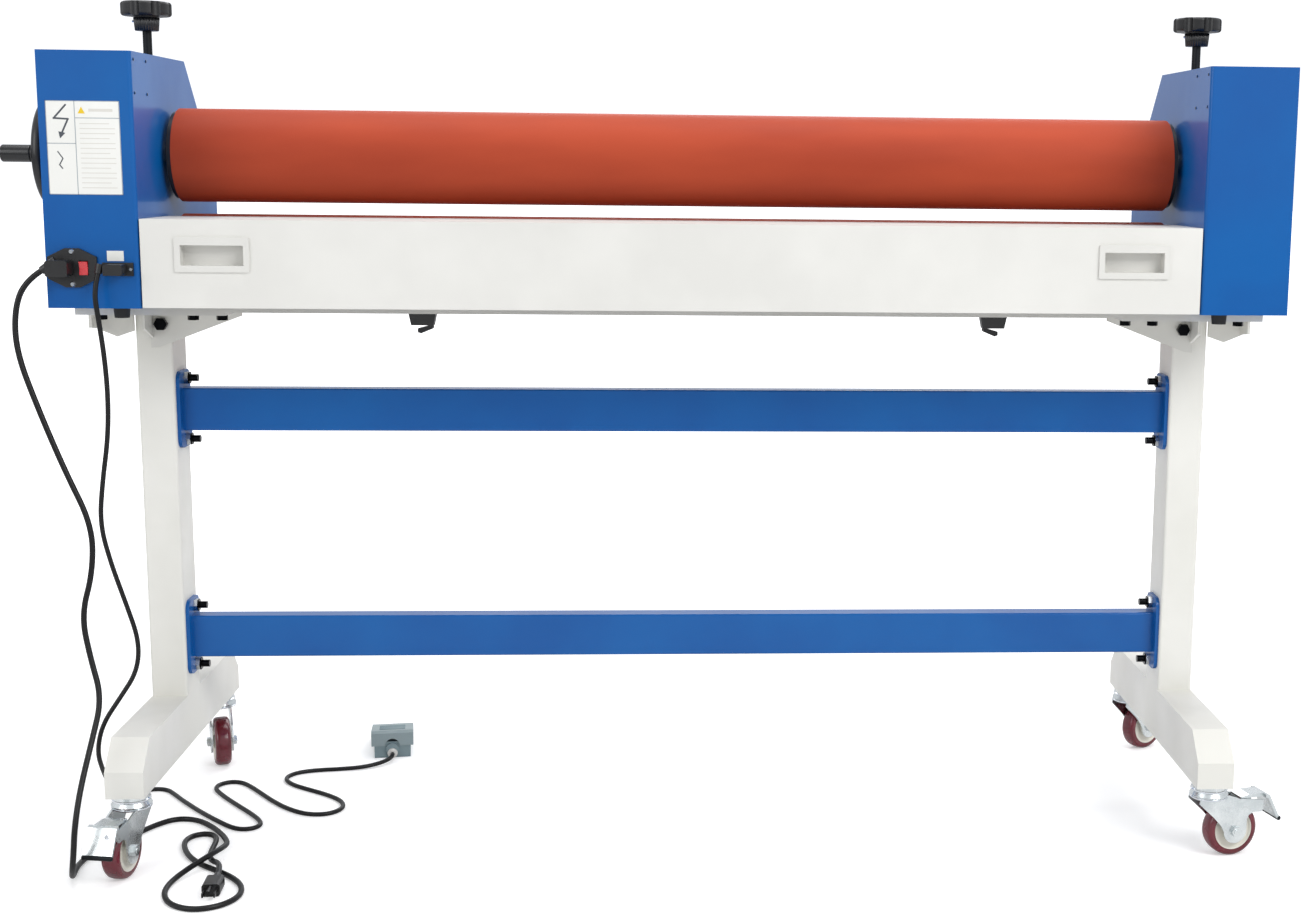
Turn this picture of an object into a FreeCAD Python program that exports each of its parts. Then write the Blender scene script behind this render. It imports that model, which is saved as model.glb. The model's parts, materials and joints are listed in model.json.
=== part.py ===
import FreeCAD, Part
import math
import os
from FreeCAD import Vector as V

"""Cold roll laminator on a wheeled stand.

Millimetres, +Z up, +X along the rollers towards the plain end, +Y towards the outfeed side.
The machine is drawn about its own middle: X = 0 halfway between the housings, Y = 0 on the
roller axes, Z = 0 on the floor. It is then moved sideways so that the origin is the middle of
the whole machine's footprint.
"""

# ---------------------------------------------------------------- driving sizes
# rollers
roller_length = 1360.0
roller_radius = 63.0
nip_gap = 16.0
rubber_wall = 8.0
core_wall = 6.0
journal_radius = 15.0
lower_axis_z = 796.5
upper_axis_z = lower_axis_z + 2 * roller_radius + nip_gap
roller_side_gap = 14.0
end_disc_radius = 59.0
end_disc_thick = 6.0
running_gap = 0.05
cover_screw_head = 2.4

# head
head_bottom = 742.0
head_top = 1068.0
head_front = -177.0
head_back = 237.0
head_slope = 156.0
housing_width = 118.0
sheet = 2.0
bend_radius = 5.0
frame_thick = 13.0
frame_offset = 20.0
frame_front = -140.0
frame_back = 220.0
frame_top = 1040.0
bearing_slot_width = 60.0
bearing_block_height = 64.0
open_travel = 10.0
close_travel = 15.5

# pressure screws and star knobs
screw_radius = 6.0
knob_radius = 33.0
knob_lobes = 7
knob_head_bottom = 1123.0
knob_head_top = 1142.0
knob_hub_radius = 15.5
knob_hub_bottom = 1104.0

# hand wheel and crank grip
wheel_radius = 75.0
wheel_plane = 40.0
grip_radius = 11.5
grip_length = 40.0
grip_offset = 56.0

# feed table
table_top = 857.0
table_bottom = 743.0
table_back = -34.0
pull_width = 95.0
pull_height = 45.0
pull_centre_x = roller_length / 2 - 78.0
pull_centre_z = 812.0
pull_depth = 18.0

# stand
stand_y = 20.0
column_width = 50.0
column_depth = 70.0
column_inner_x = roller_length / 2 + 20.0
tube_wall = 2.5
foot_length = 530.0
foot_bottom = 105.0
foot_height = 73.0
foot_chamfer = 37.0
beam_height = 60.0
beam_depth = 30.0
upper_beam_z = 587.0
lower_beam_z = 260.0
beam_plate_height = 108.0
beam_plate_thick = 5.0
beam_bolt_pitch = 86.5
rail_top = 742.0
rail_height = 10.0
rail_depth = 30.0
bracket_thick = 4.0

# casters
caster_inset = 30.0
caster_wheel_radius = 37.5
caster_wheel_width = 24.0
caster_trail = 34.0
caster_hub_radius = 28.0
axle_radius = 4.0
brake_reach = 101.0
brake_half_width = 20.0
front_left_trail = -100.0

# foot pedal, turned a little on the floor
pedal_turn = 8.0
pedal_width = 74.0
pedal_length = 116.0
pedal_front_x = -(column_inner_x - 245.0)
pedal_front_y = 244.0

# drive inside the left housing
chain_pitch = 12.7
roller_teeth = 22
motor_teeth = 14
motor_y = 150.0
motor_z = 835.0

# cords
power_cord_dia = 7.5
pedal_cord_dia = 6.5

# ---------------------------------------------------------------- sizes that follow
inner_x = roller_length / 2 + roller_side_gap
outer_x = inner_x + housing_width
frame_x0 = inner_x + frame_offset
frame_x1 = frame_x0 + frame_thick
frame_mid_x = (frame_x0 + frame_x1) / 2
column_outer_x = column_inner_x + column_width
column_y0 = stand_y - column_depth / 2
column_y1 = stand_y + column_depth / 2
foot_y0 = stand_y - foot_length / 2
foot_y1 = stand_y + foot_length / 2
foot_top = foot_bottom + foot_height
rail_bottom = rail_top - rail_height
bracket_top = rail_bottom
column_top = bracket_top - bracket_thick
caster_x = column_inner_x + column_width / 2
caster_front_y = foot_y0 + caster_inset
caster_back_y = foot_y1 - caster_inset
grip_end_x = -(outer_x + wheel_plane + 10.0 + grip_length)

# middle of the footprint, measured without the cords
lean_angle = math.radians(pedal_turn)
trail_angle = math.radians(front_left_trail)
pedal_back_y = pedal_front_y + pedal_length * math.cos(lean_angle) + pedal_width / 2 * math.sin(lean_angle)
front_reach_y = caster_front_y + brake_reach * math.sin(trail_angle) + brake_half_width * math.cos(trail_angle)
shift = V(-(grip_end_x + outer_x + cover_screw_head) / 2, -(pedal_back_y + front_reach_y) / 2, 0)


# ---------------------------------------------------------------- shape helpers
def box(x0, x1, y0, y1, z0, z1):
    """A block between two corners."""
    return Part.makeBox(x1 - x0, y1 - y0, z1 - z0, V(x0, y0, z0))


def rod_x(x0, x1, y, z, r):
    """A round bar along X."""
    return Part.makeCylinder(r, x1 - x0, V(x0, y, z), V(1, 0, 0))


def rod_y(x, y0, y1, z, r):
    """A round bar along Y."""
    return Part.makeCylinder(r, y1 - y0, V(x, y0, z), V(0, 1, 0))


def rod_z(x, y, z0, z1, r):
    """A round bar along Z."""
    return Part.makeCylinder(r, z1 - z0, V(x, y, z0), V(0, 0, 1))


def rod(a, b, r):
    """A round bar between two points."""
    return Part.makeCylinder(r, (b - a).Length, a, b - a)


def cone(a, b, r0, r1):
    """A tapered round bar between two points."""
    return Part.makeCone(r0, r1, (b - a).Length, a, b - a)


def prism(points, move):
    """A flat outline pushed along a vector."""
    return Part.Face(Part.makePolygon(points + [points[0]])).extrude(move)


def plate_yz(outline, x0, x1):
    """A plate whose outline is in Y and Z."""
    return prism([V(x0, y, z) for y, z in outline], V(x1 - x0, 0, 0))


def plate_xz(outline, y0, y1):
    """A plate whose outline is in X and Z."""
    return prism([V(x, y0, z) for x, z in outline], V(0, y1 - y0, 0))


def plate_xy(outline, z0, z1):
    """A plate whose outline is in X and Y."""
    return prism([V(x, y, z0) for x, y in outline], V(0, 0, z1 - z0))


def hexagon_x(x0, x1, y, z, flats):
    """A hexagonal nut or bolt head along X."""
    r = flats / math.sqrt(3)
    corners = [(y + r * math.cos(math.radians(60 * k)), z + r * math.sin(math.radians(60 * k))) for k in range(6)]
    return plate_yz(corners, x0, x1)


def hexagon_y(x, y0, y1, z, flats):
    """A hexagonal bolt head along Y."""
    r = flats / math.sqrt(3)
    corners = [(x + r * math.cos(math.radians(60 * k)), z + r * math.sin(math.radians(60 * k))) for k in range(6)]
    return plate_xz(corners, y0, y1)


def hexagon_z(x, y, z0, z1, flats):
    """A hexagonal bolt head along Z."""
    r = flats / math.sqrt(3)
    corners = [(x + r * math.cos(math.radians(60 * k)), y + r * math.sin(math.radians(60 * k))) for k in range(6)]
    return plate_xy(corners, z0, z1)


def ring_x(x0, x1, y, z, r_out, r_in):
    """A round ring along X."""
    return rod_x(x0, x1, y, z, r_out).cut(rod_x(x0 - 1, x1 + 1, y, z, r_in))


def mirrored(shape):
    """The same shape at the other end of the machine."""
    return shape.mirror(V(0, 0, 0), V(1, 0, 0))


def both_ends(shape):
    """A shape and its mirror image, as two solids."""
    return [shape, mirrored(shape)]


def turned(shape, centre, axis, degrees):
    """A copy turned about a line."""
    copy = shape.copy()
    copy.rotate(centre, axis, degrees)
    return copy


def upright_edges(shape, x, y, tol=0.01):
    """The vertical edges of a shape that stand at one place."""
    found = []
    for edge in shape.Edges:
        ends = [v.Point for v in edge.Vertexes]
        if len(ends) == 2 and all(abs(p.x - x) < tol and abs(p.y - y) < tol for p in ends):
            found.append(edge)
    return found


os.makedirs("parts", exist_ok=True)
for old in os.listdir("parts"):
    os.remove(os.path.join("parts", old))


def save(name, solids):
    """Write one node, moved into the origin's frame."""
    solids = solids if isinstance(solids, list) else [solids]
    shape = solids[0] if len(solids) == 1 else Part.makeCompound(solids)
    shape = shape.copy()
    shape.translate(shift)
    if not shape.isValid():
        print("INVALID", name)
    shape.exportStep("parts/%s.step" % name)
    print("%-22s solids %d  volume %.0f" % (name, len(shape.Solids), shape.Volume))


# ---------------------------------------------------------------- housings and side frames
def head_outline(inset):
    """The side view of a housing, drawn in by an inset; its back top corner is sloped."""
    lean = inset * (math.sqrt(2) - 1)
    return [(head_front + inset, head_bottom + inset), (head_back - inset, head_bottom + inset),
            (head_back - inset, head_top - head_slope - lean), (head_back - head_slope - lean, head_top - inset),
            (head_front + inset, head_top - inset)]


journal_hole_radius = journal_radius + 3.0


def journal_slot(x0, x1):
    """The upright slot that lets the upper roller's journal rise and fall."""
    low = upper_axis_z - close_travel
    high = upper_axis_z + open_travel
    slot = box(x0, x1, -journal_hole_radius, journal_hole_radius, low, high)
    slot = slot.fuse(rod_x(x0, x1, 0, low, journal_hole_radius))
    return slot.fuse(rod_x(x0, x1, 0, high, journal_hole_radius))


def housing():
    """One sheet housing, open on its outer side, for the +X end."""
    shell = plate_yz(head_outline(0), inner_x, outer_x - sheet)
    shell = shell.makeFillet(bend_radius, upright_edges(shell, inner_x, head_front))
    shell = shell.cut(plate_yz(head_outline(sheet), inner_x + sheet, outer_x + sheet))
    shell = shell.cut(journal_slot(inner_x - 1, inner_x + sheet + 1))
    shell = shell.cut(rod_x(inner_x - 1, inner_x + sheet + 1, 0, lower_axis_z, journal_hole_radius))
    shell = shell.cut(rod_z(frame_mid_x, 0, head_top - sheet - 1, head_top + 1, screw_radius + 2.0))
    for y, z in tie_bar_places:
        shell = shell.cut(rod_x(inner_x - 1, inner_x + sheet + 1, y, z, tie_bar_radius + 0.3))
    for x, y, z in runner_screw_places:
        shell = shell.cut(rod_x(inner_x - 1, inner_x + sheet + 1, y, z, 2.2))
    return shell


def end_cover():
    """The flat plate that closes a housing's outer side."""
    return plate_yz(head_outline(0), outer_x - sheet + 0.0, outer_x)


tie_bar_radius = 12.5
tie_bar_places = [(-128.0, 770.0), (108.0, 763.0), (205.0, 772.0)]
runner_screw_places = [(inner_x, -150.0, 850.0), (inner_x, -85.0, 850.0)]

slot_half = bearing_slot_width / 2
slot_bottom = upper_axis_z - bearing_block_height / 2 - close_travel - 3.0
bearing_bore = 31.0


def side_frame():
    """The thick steel plate that carries the roller bearings, for the +X end."""
    foot_z = head_bottom + sheet
    outline = [(frame_front, foot_z), (frame_back, foot_z), (frame_back, 905.0), (95.0, 1030.0), (90.0, frame_top),
               (frame_front, frame_top)]
    plate = plate_yz(outline, frame_x0, frame_x1)
    plate = plate.cut(box(frame_x0 - 1, frame_x1 + 1, -slot_half, slot_half, slot_bottom, frame_top + 1))
    plate = plate.cut(rod_x(frame_x0 - 1, frame_x1 + 1, 0, lower_axis_z, bearing_bore))
    base = box(frame_x1, frame_x1 + 36.0, frame_front, frame_back, foot_z, foot_z + 8.0)
    return plate.fuse(base).removeSplitter()


left_frame = mirrored(side_frame())
motor_shaft_hole = rod_x(-frame_x1 - 1, -frame_x0 + 1, motor_y, motor_z, 12.0)
save("side_frames", [left_frame.cut(motor_shaft_hole), side_frame()])

# front openings of the left housing: power inlet and pedal socket
inlet_x = -(inner_x + 84.0)
inlet_z = 794.0
inlet_half_width = 31.0
inlet_half_height = 25.0
inlet_body_half_width = 26.0
inlet_body_half_height = 14.0
socket_x = -(inner_x + 27.0)
socket_z = 792.5
socket_half_width = 19.5
socket_half_height = 8.5
socket_body_half_width = 12.0

left_housing = mirrored(housing())
left_housing = left_housing.cut(box(inlet_x - inlet_body_half_width, inlet_x + inlet_body_half_width,
                                    head_front - 1, head_front + sheet + 1,
                                    inlet_z - inlet_body_half_height, inlet_z + inlet_body_half_height))
left_housing = left_housing.cut(box(socket_x - socket_body_half_width, socket_x + socket_body_half_width,
                                    head_front - 1, head_front + sheet + 1, socket_z - 6.5, socket_z + 6.5))
save("left_housing", left_housing)
save("right_housing", housing())
left_cover = mirrored(end_cover()).cut(journal_slot(-outer_x - 1, -outer_x + sheet + 1))
save("end_covers", [left_cover, end_cover()])

# tie bars between the side frames
save("tie_bars", [rod_x(-frame_x0, frame_x0, y, z, tie_bar_radius) for y, z in tie_bar_places])

# threaded blocks on the frame tops
nut_height = 22.0
nut = box(frame_x0 - 8, frame_x1 + 8, -slot_half - 15, slot_half + 15, frame_top, frame_top + nut_height)
nut = nut.cut(rod_z(frame_mid_x, 0, frame_top - 1, frame_top + nut_height + 1, screw_radius + running_gap))
save("pressure_nuts", both_ends(nut))

# rubber feet under the housings, which rest beside the stand rails
pad_x = inner_x + 37.0
foot_pad = cone(V(pad_x, -136.0, head_bottom), V(pad_x, -136.0, head_bottom - 15.0), 11.0, 9.5)
save("head_feet", both_ends(foot_pad))

# ---------------------------------------------------------------- rollers
roller_half = roller_length / 2
disc_x0 = roller_half + 0.3
disc_x1 = disc_x0 + end_disc_thick


def roller_core(z, left_end, right_end):
    """The steel tube with its two end plugs, and the two journals pressed into the plugs."""
    outer = roller_radius - rubber_wall
    tube = ring_x(-roller_half, roller_half, 0, z, outer, outer - core_wall)
    for side in (-1, 1):
        inside = side * (roller_half - 12.0)
        outside = side * roller_half
        tube = tube.fuse(rod_x(min(inside, outside), max(inside, outside), 0, z, outer - core_wall))
    left = rod_x(left_end, -roller_half + 12.0, 0, z, journal_radius)
    right = rod_x(roller_half - 12.0, right_end, 0, z, journal_radius)
    return [tube.removeSplitter().cut(left).cut(right), left, right]


def roller_sleeve(z):
    """The rubber skin on a roller core."""
    return ring_x(-roller_half, roller_half, 0, z, roller_radius, roller_radius - rubber_wall)


def end_discs(z):
    """The black discs on a roller's two ends."""
    return both_ends(ring_x(disc_x0, disc_x1, 0, z, end_disc_radius, journal_radius))


wheel_hub_end = -(outer_x + wheel_plane + 4.0)
save("upper_roller_core", roller_core(upper_axis_z, wheel_hub_end + 2.0, frame_x1 + 14.0))
save("upper_roller_sleeve", roller_sleeve(upper_axis_z))
save("upper_end_discs", end_discs(upper_axis_z))
save("lower_roller_core", roller_core(lower_axis_z, -frame_x1 - 14.0, frame_x1 + 14.0))
save("lower_roller_sleeve", roller_sleeve(lower_axis_z))
save("lower_end_discs", end_discs(lower_axis_z))

# lower bearings are pressed into the side frames
lower_bearing = ring_x(frame_x0 - 1.0, frame_x1 + 1.0, 0, lower_axis_z, bearing_bore, journal_radius + running_gap)
save("lower_bearings", both_ends(lower_bearing))

# upper bearing blocks slide in the frame slots; each carries a ball bearing
block_half = slot_half - running_gap
block_z0 = upper_axis_z - bearing_block_height / 2
block_z1 = upper_axis_z + bearing_block_height / 2
block = box(frame_x0 - 6.0, frame_x1 + 6.0, -block_half, block_half, block_z0, block_z1)
for x0, x1 in ((frame_x0 - 6.0, frame_x0 - 0.3), (frame_x1 + 0.3, frame_x1 + 6.0)):
    block = block.fuse(box(x0, x1, -block_half - 8.0, block_half + 8.0, block_z0, block_z1))
upper_bearing_radius = 26.0
block = block.cut(rod_x(frame_x0 - 10, frame_x1 + 10, 0, upper_axis_z, upper_bearing_radius)).removeSplitter()
screw_socket_depth = 4.0
block = block.cut(rod_z(frame_mid_x, 0, block_z1 - screw_socket_depth, block_z1 + 1, screw_radius + running_gap))
upper_bearing = ring_x(frame_x0 - 6.0, frame_x1 + 6.0, 0, upper_axis_z, upper_bearing_radius,
                       journal_radius + running_gap)
save("bearing_blocks", both_ends(block) + both_ends(upper_bearing))

# ---------------------------------------------------------------- pressure screws and star knobs
screw_end_z = block_z1 - screw_socket_depth + 0.3
screw_top_z = knob_hub_bottom + 22.0
right_screw = rod_z(frame_mid_x, 0, screw_end_z, screw_top_z, screw_radius)


def star_knob():
    """A fluted star knob with a ribbed hub, for the +X end."""
    flute_radius = 8.0
    head = rod_z(0, 0, knob_head_bottom, knob_head_top, knob_radius)
    head = head.makeFillet(4.0, [e for e in head.Edges if len(e.Vertexes) == 1])
    for k in range(knob_lobes):
        angle = 2 * math.pi * (k + 0.5) / knob_lobes
        reach = knob_radius + 3.0
        head = head.cut(rod_z(reach * math.cos(angle), reach * math.sin(angle), knob_head_bottom - 1,
                              knob_head_top + 1, flute_radius))
    hub = cone(V(0, 0, knob_hub_bottom), V(0, 0, knob_head_bottom + 2.0), knob_hub_radius - 1.0, knob_hub_radius + 1.0)
    knob = head.fuse(hub)
    knob = knob.cut(rod_z(0, 0, knob_hub_bottom - 1, screw_top_z, screw_radius)).removeSplitter()
    knob.translate(V(frame_mid_x, 0, 0))
    return knob


save("right_knob", star_knob())
save("left_knob", mirrored(star_knob()))
save("right_pressure_screw", right_screw)
save("left_pressure_screw", mirrored(right_screw))

# ---------------------------------------------------------------- hand wheel on the upper journal
wheel_x = -(outer_x + wheel_plane)


def hand_wheel():
    """A dished wheel with a thick round rim, on the upper roller's left journal."""
    hub = rod_x(wheel_hub_end, -outer_x - 6.0, 0, upper_axis_z, 21.0)
    dish_profile = [V(-outer_x - 14.0, 0, upper_axis_z + 14.0), V(-outer_x - 22.0, 0, upper_axis_z + 14.0),
                    V(wheel_x - 4.0, 0, upper_axis_z + 62.0), V(wheel_x + 5.0, 0, upper_axis_z + 64.0)]
    dish = Part.Face(Part.makePolygon(dish_profile + [dish_profile[0]]))
    dish = dish.revolve(V(0, 0, upper_axis_z), V(1, 0, 0), 360)
    rim = Part.makeTorus(wheel_radius - 8.0, 8.0, V(wheel_x, 0, upper_axis_z), V(1, 0, 0))
    boss = rod_x(wheel_x - 9.7, wheel_x + 4.0, -grip_offset, upper_axis_z, 12.0)
    pin = rod_x(grip_end_x + 3.0, wheel_x - 5.0, -grip_offset, upper_axis_z, 4.0)
    wheel = hub.fuse(dish).fuse(rim).fuse(boss).fuse(pin)
    return wheel.cut(rod_x(wheel_hub_end - 1, -outer_x, 0, upper_axis_z, journal_radius)).removeSplitter()


save("handwheel", hand_wheel())
grip = rod_x(grip_end_x, wheel_x - 10.0, -grip_offset, upper_axis_z, grip_radius)
grip = grip.makeFillet(2.5, [e for e in grip.Edges if len(e.Vertexes) == 1])
grip = grip.cut(rod_x(grip_end_x - 1.0, wheel_x, -grip_offset, upper_axis_z, 4.0 + running_gap))
save("crank_grip", grip)

# ---------------------------------------------------------------- feed table
table_half = inner_x - 1.5
pull_half_width = pull_width / 2
pull_half_height = pull_height / 2
cup_half_width = pull_half_width - 5.5
cup_top = pull_centre_z + 14.0
cup_bottom = pull_centre_z - 16.0
cup_wall = 2.0

table = box(-table_half, table_half, head_front, head_front + sheet, table_bottom, table_top)
table = table.fuse(box(-table_half, table_half, head_front, table_back, table_top - sheet, table_top))
table = table.fuse(box(-table_half, table_half, head_front, head_front + 18.0, table_bottom, table_bottom + sheet))
for side in (-1, 1):
    x = side * pull_centre_x
    table = table.cut(box(x - cup_half_width - 0.2, x + cup_half_width + 0.2, head_front - 1, head_front + sheet + 1,
                          cup_bottom - 0.2, cup_top + 0.2))
save("feed_table", table.removeSplitter())

pull = box(pull_centre_x - pull_half_width, pull_centre_x + pull_half_width, head_front - 2.5, head_front,
           pull_centre_z - pull_half_height, pull_centre_z + pull_half_height)
pull = pull.makeFillet(2.4, [e for e in pull.Edges if abs(e.Vertexes[0].Y - e.Vertexes[1].Y) > 1])
pull = pull.fuse(box(pull_centre_x - cup_half_width, pull_centre_x + cup_half_width, head_front,
                     head_front + pull_depth, cup_bottom, cup_top))
pull = pull.cut(box(pull_centre_x - cup_half_width + cup_wall, pull_centre_x + cup_half_width - cup_wall,
                    head_front - 5.0, head_front + pull_depth - cup_wall, cup_bottom + cup_wall, cup_top - cup_wall))
save("table_pulls", both_ends(pull))

# runners on the housings' inner walls carry the table
runner = box(inner_x - 14.0, inner_x, -165.0, -68.0, table_top - sheet - 12.4, table_top - sheet - 0.4)
save("table_runners", both_ends(runner))

# ---------------------------------------------------------------- drive
def pitch_radius(teeth):
    """Pitch circle radius of a chain sprocket."""
    return chain_pitch / (2 * math.sin(math.pi / teeth))


big_r = pitch_radius(roller_teeth)
small_r = pitch_radius(motor_teeth)
sprocket_x = -(inner_x + 9.0)
drive_span = math.hypot(motor_y, motor_z - lower_axis_z)
drive_lean = math.atan2(motor_z - lower_axis_z, motor_y)


def belt_shape(offset, x0, x1):
    """The filled outline of a chain round both sprockets, drawn out by an offset."""
    r0 = big_r + offset
    r1 = small_r + offset
    a = math.acos((r0 - r1) / drive_span)
    shape = rod_x(x0, x1, 0, lower_axis_z, r0).fuse(rod_x(x0, x1, motor_y, motor_z, r1))
    corners = []
    for cy, cz, r, sign in ((0, lower_axis_z, r0, 1), (motor_y, motor_z, r1, 1), (motor_y, motor_z, r1, -1),
                            (0, lower_axis_z, r0, -1)):
        t = drive_lean + sign * a
        corners.append((cy + r * math.cos(t), cz + r * math.sin(t)))
    return shape.fuse(plate_yz(corners, x0, x1)).removeSplitter()


def sprocket(teeth, y, z, bore):
    """A toothed disc with a hub, thin enough to run between the chain's side plates."""
    r = pitch_radius(teeth)
    disc = rod_x(sprocket_x - 1.3, sprocket_x + 1.3, y, z, r + 1.0)
    for k in range(teeth):
        t = 2 * math.pi * k / teeth
        disc = disc.cut(rod_x(sprocket_x - 2, sprocket_x + 2, y + (r + 2.5) * math.cos(t), z + (r + 2.5) * math.sin(t),
                              3.6))
    hub = rod_x(sprocket_x - 4.0, sprocket_x + 4.0, y, z, r - 8.0)
    return disc.fuse(hub).cut(rod_x(sprocket_x - 9, sprocket_x + 9, y, z, bore)).removeSplitter()


chain = belt_shape(4.0, sprocket_x - 4.5, sprocket_x + 4.5).cut(belt_shape(-4.0, sprocket_x - 5, sprocket_x + 5))
chain = chain.cut(belt_shape(1.6, sprocket_x - 1.8, sprocket_x + 1.8))
save("drive_chain", chain)
save("lower_sprocket", sprocket(roller_teeth, 0, lower_axis_z, journal_radius))
motor_shaft_radius = 6.0
motor_sprocket = sprocket(motor_teeth, motor_y, motor_z, motor_shaft_radius)
motor_shaft = rod_x(-frame_x1 - 6.0, sprocket_x + 4.0, motor_y, motor_z, motor_shaft_radius)
save("motor_sprocket", [motor_sprocket, motor_shaft])
gearbox = box(-frame_x1 - 30.0, -frame_x1, motor_y - 38.0, motor_y + 38.0, motor_z - 38.0, motor_z + 38.0)
gear_motor = gearbox.fuse(rod_x(-frame_x1 - 76.0, -frame_x1 - 30.0, motor_y, motor_z, 34.0))
gear_motor = gear_motor.cut(rod_x(-frame_x1 - 8.0, -frame_x1 + 1.0, motor_y, motor_z, motor_shaft_radius + running_gap))
save("gear_motor", gear_motor.removeSplitter())

# ---------------------------------------------------------------- power inlet and pedal socket
inlet_front = head_front - 4.0
inlet_outline = [(-31, -14), (-31, 14), (-9, 25), (9, 25), (31, 14), (31, -14), (9, -25), (-9, -25)]
inlet = plate_xz([(inlet_x + x, inlet_z + z) for x, z in inlet_outline], inlet_front, head_front)
inlet = inlet.fuse(box(inlet_x - inlet_body_half_width + 0.2, inlet_x + inlet_body_half_width - 0.2, head_front,
                       head_front + 26.0, inlet_z - inlet_body_half_height + 0.2,
                       inlet_z + inlet_body_half_height - 0.2))
plug_in_x = inlet_x - 12.5
rocker_x = inlet_x + 14.5
inlet = inlet.cut(box(plug_in_x - 12.0, plug_in_x + 12.0, inlet_front - 1, head_front + 14.0, inlet_z - 8.5,
                      inlet_z + 8.5))
inlet = inlet.cut(box(rocker_x - 5.8, rocker_x + 5.8, inlet_front - 1, head_front + 8.0, inlet_z - 9.3, inlet_z + 9.3))
save("power_inlet", inlet.removeSplitter())

rocker_profile = [(inlet_front - 2.6, inlet_z - 8.6), (inlet_front - 0.6, inlet_z), (inlet_front - 2.6, inlet_z + 8.6),
                  (inlet_front + 4.5, inlet_z + 8.0), (inlet_front + 7.0, inlet_z), (inlet_front + 4.5, inlet_z - 8.0)]
rocker = plate_yz(rocker_profile, rocker_x - 5.2, rocker_x + 5.2)
rocker_axis = V(rocker_x, inlet_front + 2.0, inlet_z)
rocker = rocker.fuse(rod_x(rocker_x - 5.6, rocker_x + 5.6, rocker_axis.y, rocker_axis.z, 1.2))
save("power_rocker", turned(rocker, rocker_axis, V(1, 0, 0), 5.0))

socket_plate = box(socket_x - socket_half_width, socket_x + socket_half_width, head_front - 3.0, head_front,
                   socket_z - socket_half_height, socket_z + socket_half_height)
socket_plate = socket_plate.fuse(box(socket_x - 11.8, socket_x + 11.8, head_front, head_front + 20.0, socket_z - 6.3,
                                     socket_z + 6.3))
save("pedal_socket", socket_plate.removeSplitter())

# label and small plate, each a thin plate on the left housing's front
label = box(-(inner_x + 108.5), -(inner_x + 16.5), head_front - 0.6, head_front, 887.0, 1005.0)
small_label = box(-(inner_x + 40.5), -(inner_x + 19.5), head_front - 0.6, head_front, 803.0, 816.0)
save("labels", [label, small_label])

# small screws: inlet, socket, end covers and the housings' inner walls
screws = []
for z in (inlet_z - 20.8, inlet_z + 20.8):
    screws.append(cone(V(inlet_x, inlet_front, z), V(inlet_x, inlet_front - 2.2, z), 3.6, 2.4))
for x in (socket_x - 16.2, socket_x + 16.2):
    screws.append(cone(V(x, head_front - 3.0, socket_z), V(x, head_front - 4.8, socket_z), 2.6, 1.8))
for y, z in ((-160.0, 760.0), (-160.0, 1050.0), (70.0, 1050.0), (220.0, 760.0), (220.0, 895.0)):
    screws += both_ends(cone(V(outer_x, y, z), V(outer_x + cover_screw_head, y, z), 4.0, 2.6))
for y, z in ((-165.0, 1058.0), (-109.0, 1058.0), (-165.0, 1016.0), (-109.0, 1016.0)):
    screws += both_ends(cone(V(inner_x, y, z), V(inner_x - 1.0, y, z), 2.2, 1.4))
save("panel_screws", screws)

# ---------------------------------------------------------------- stand rails, catches and brackets
front_rail_y = -110.0
back_rail_y = 112.0
rail_end = outer_x - 12.0
rails = [box(-rail_end, rail_end, y, y + rail_depth, rail_bottom, rail_top) for y in (front_rail_y, back_rail_y)]
save("base_rails", rails)

catch_x = 346.0
catch_y = front_rail_y + 6.0
catch_pin_z = rail_bottom - 18.2


def catch_body(x, side):
    """A black moulded catch under the front rail, with two lugs that hold its lever's pin."""
    top = [V(x - 18.0, catch_y, rail_bottom), V(x + 18.0, catch_y, rail_bottom),
           V(x + 18.0, catch_y + 20.0, rail_bottom), V(x - 18.0, catch_y + 20.0, rail_bottom)]
    low = [V(x - 15.0, catch_y + 2.0, rail_bottom - 16.0), V(x + 15.0, catch_y + 2.0, rail_bottom - 16.0),
           V(x + 15.0, catch_y + 18.0, rail_bottom - 16.0), V(x - 15.0, catch_y + 18.0, rail_bottom - 16.0)]
    body = Part.makeLoft([Part.makePolygon(top + [top[0]]), Part.makePolygon(low + [low[0]])], True, True)
    hinge_x = x - side * 11.0
    for y0, y1 in ((catch_y + 2.2, catch_y + 3.7), (catch_y + 16.3, catch_y + 17.8)):
        body = body.fuse(box(hinge_x - 2.6, hinge_x + 2.6, y0, y1, rail_bottom - 20.6, rail_bottom - 15.0))
    return body.cut(rod_y(hinge_x, catch_y, catch_y + 20.0, catch_pin_z, 1.2 + running_gap)).removeSplitter()


def catch_lever(x, side):
    """The small lever hinged below a catch; side is +1 where it points to +X."""
    outline = [(8.0, -16.5), (10.0, -16.5), (12.2, -17.2), (13.5, -20.5), (-2.0, -27.0), (-6.5, -25.5),
               (-6.5, -20.5)]
    points = [(x - side * a, rail_bottom + b) for a, b in outline]
    lever = plate_xz(points, catch_y + 4.0, catch_y + 16.0)
    return lever.fuse(rod_y(x - side * 11.0, catch_y + 2.2, catch_y + 17.8, catch_pin_z, 1.2)).removeSplitter()


catch_places = ((-catch_x, -1), (catch_x + 82.0, 1))
save("catch_bodies", [catch_body(x, side) for x, side in catch_places])
save("left_catch_lever", catch_lever(catch_places[0][0], -1))
save("right_catch_lever", catch_lever(catch_places[1][0], 1))


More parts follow.
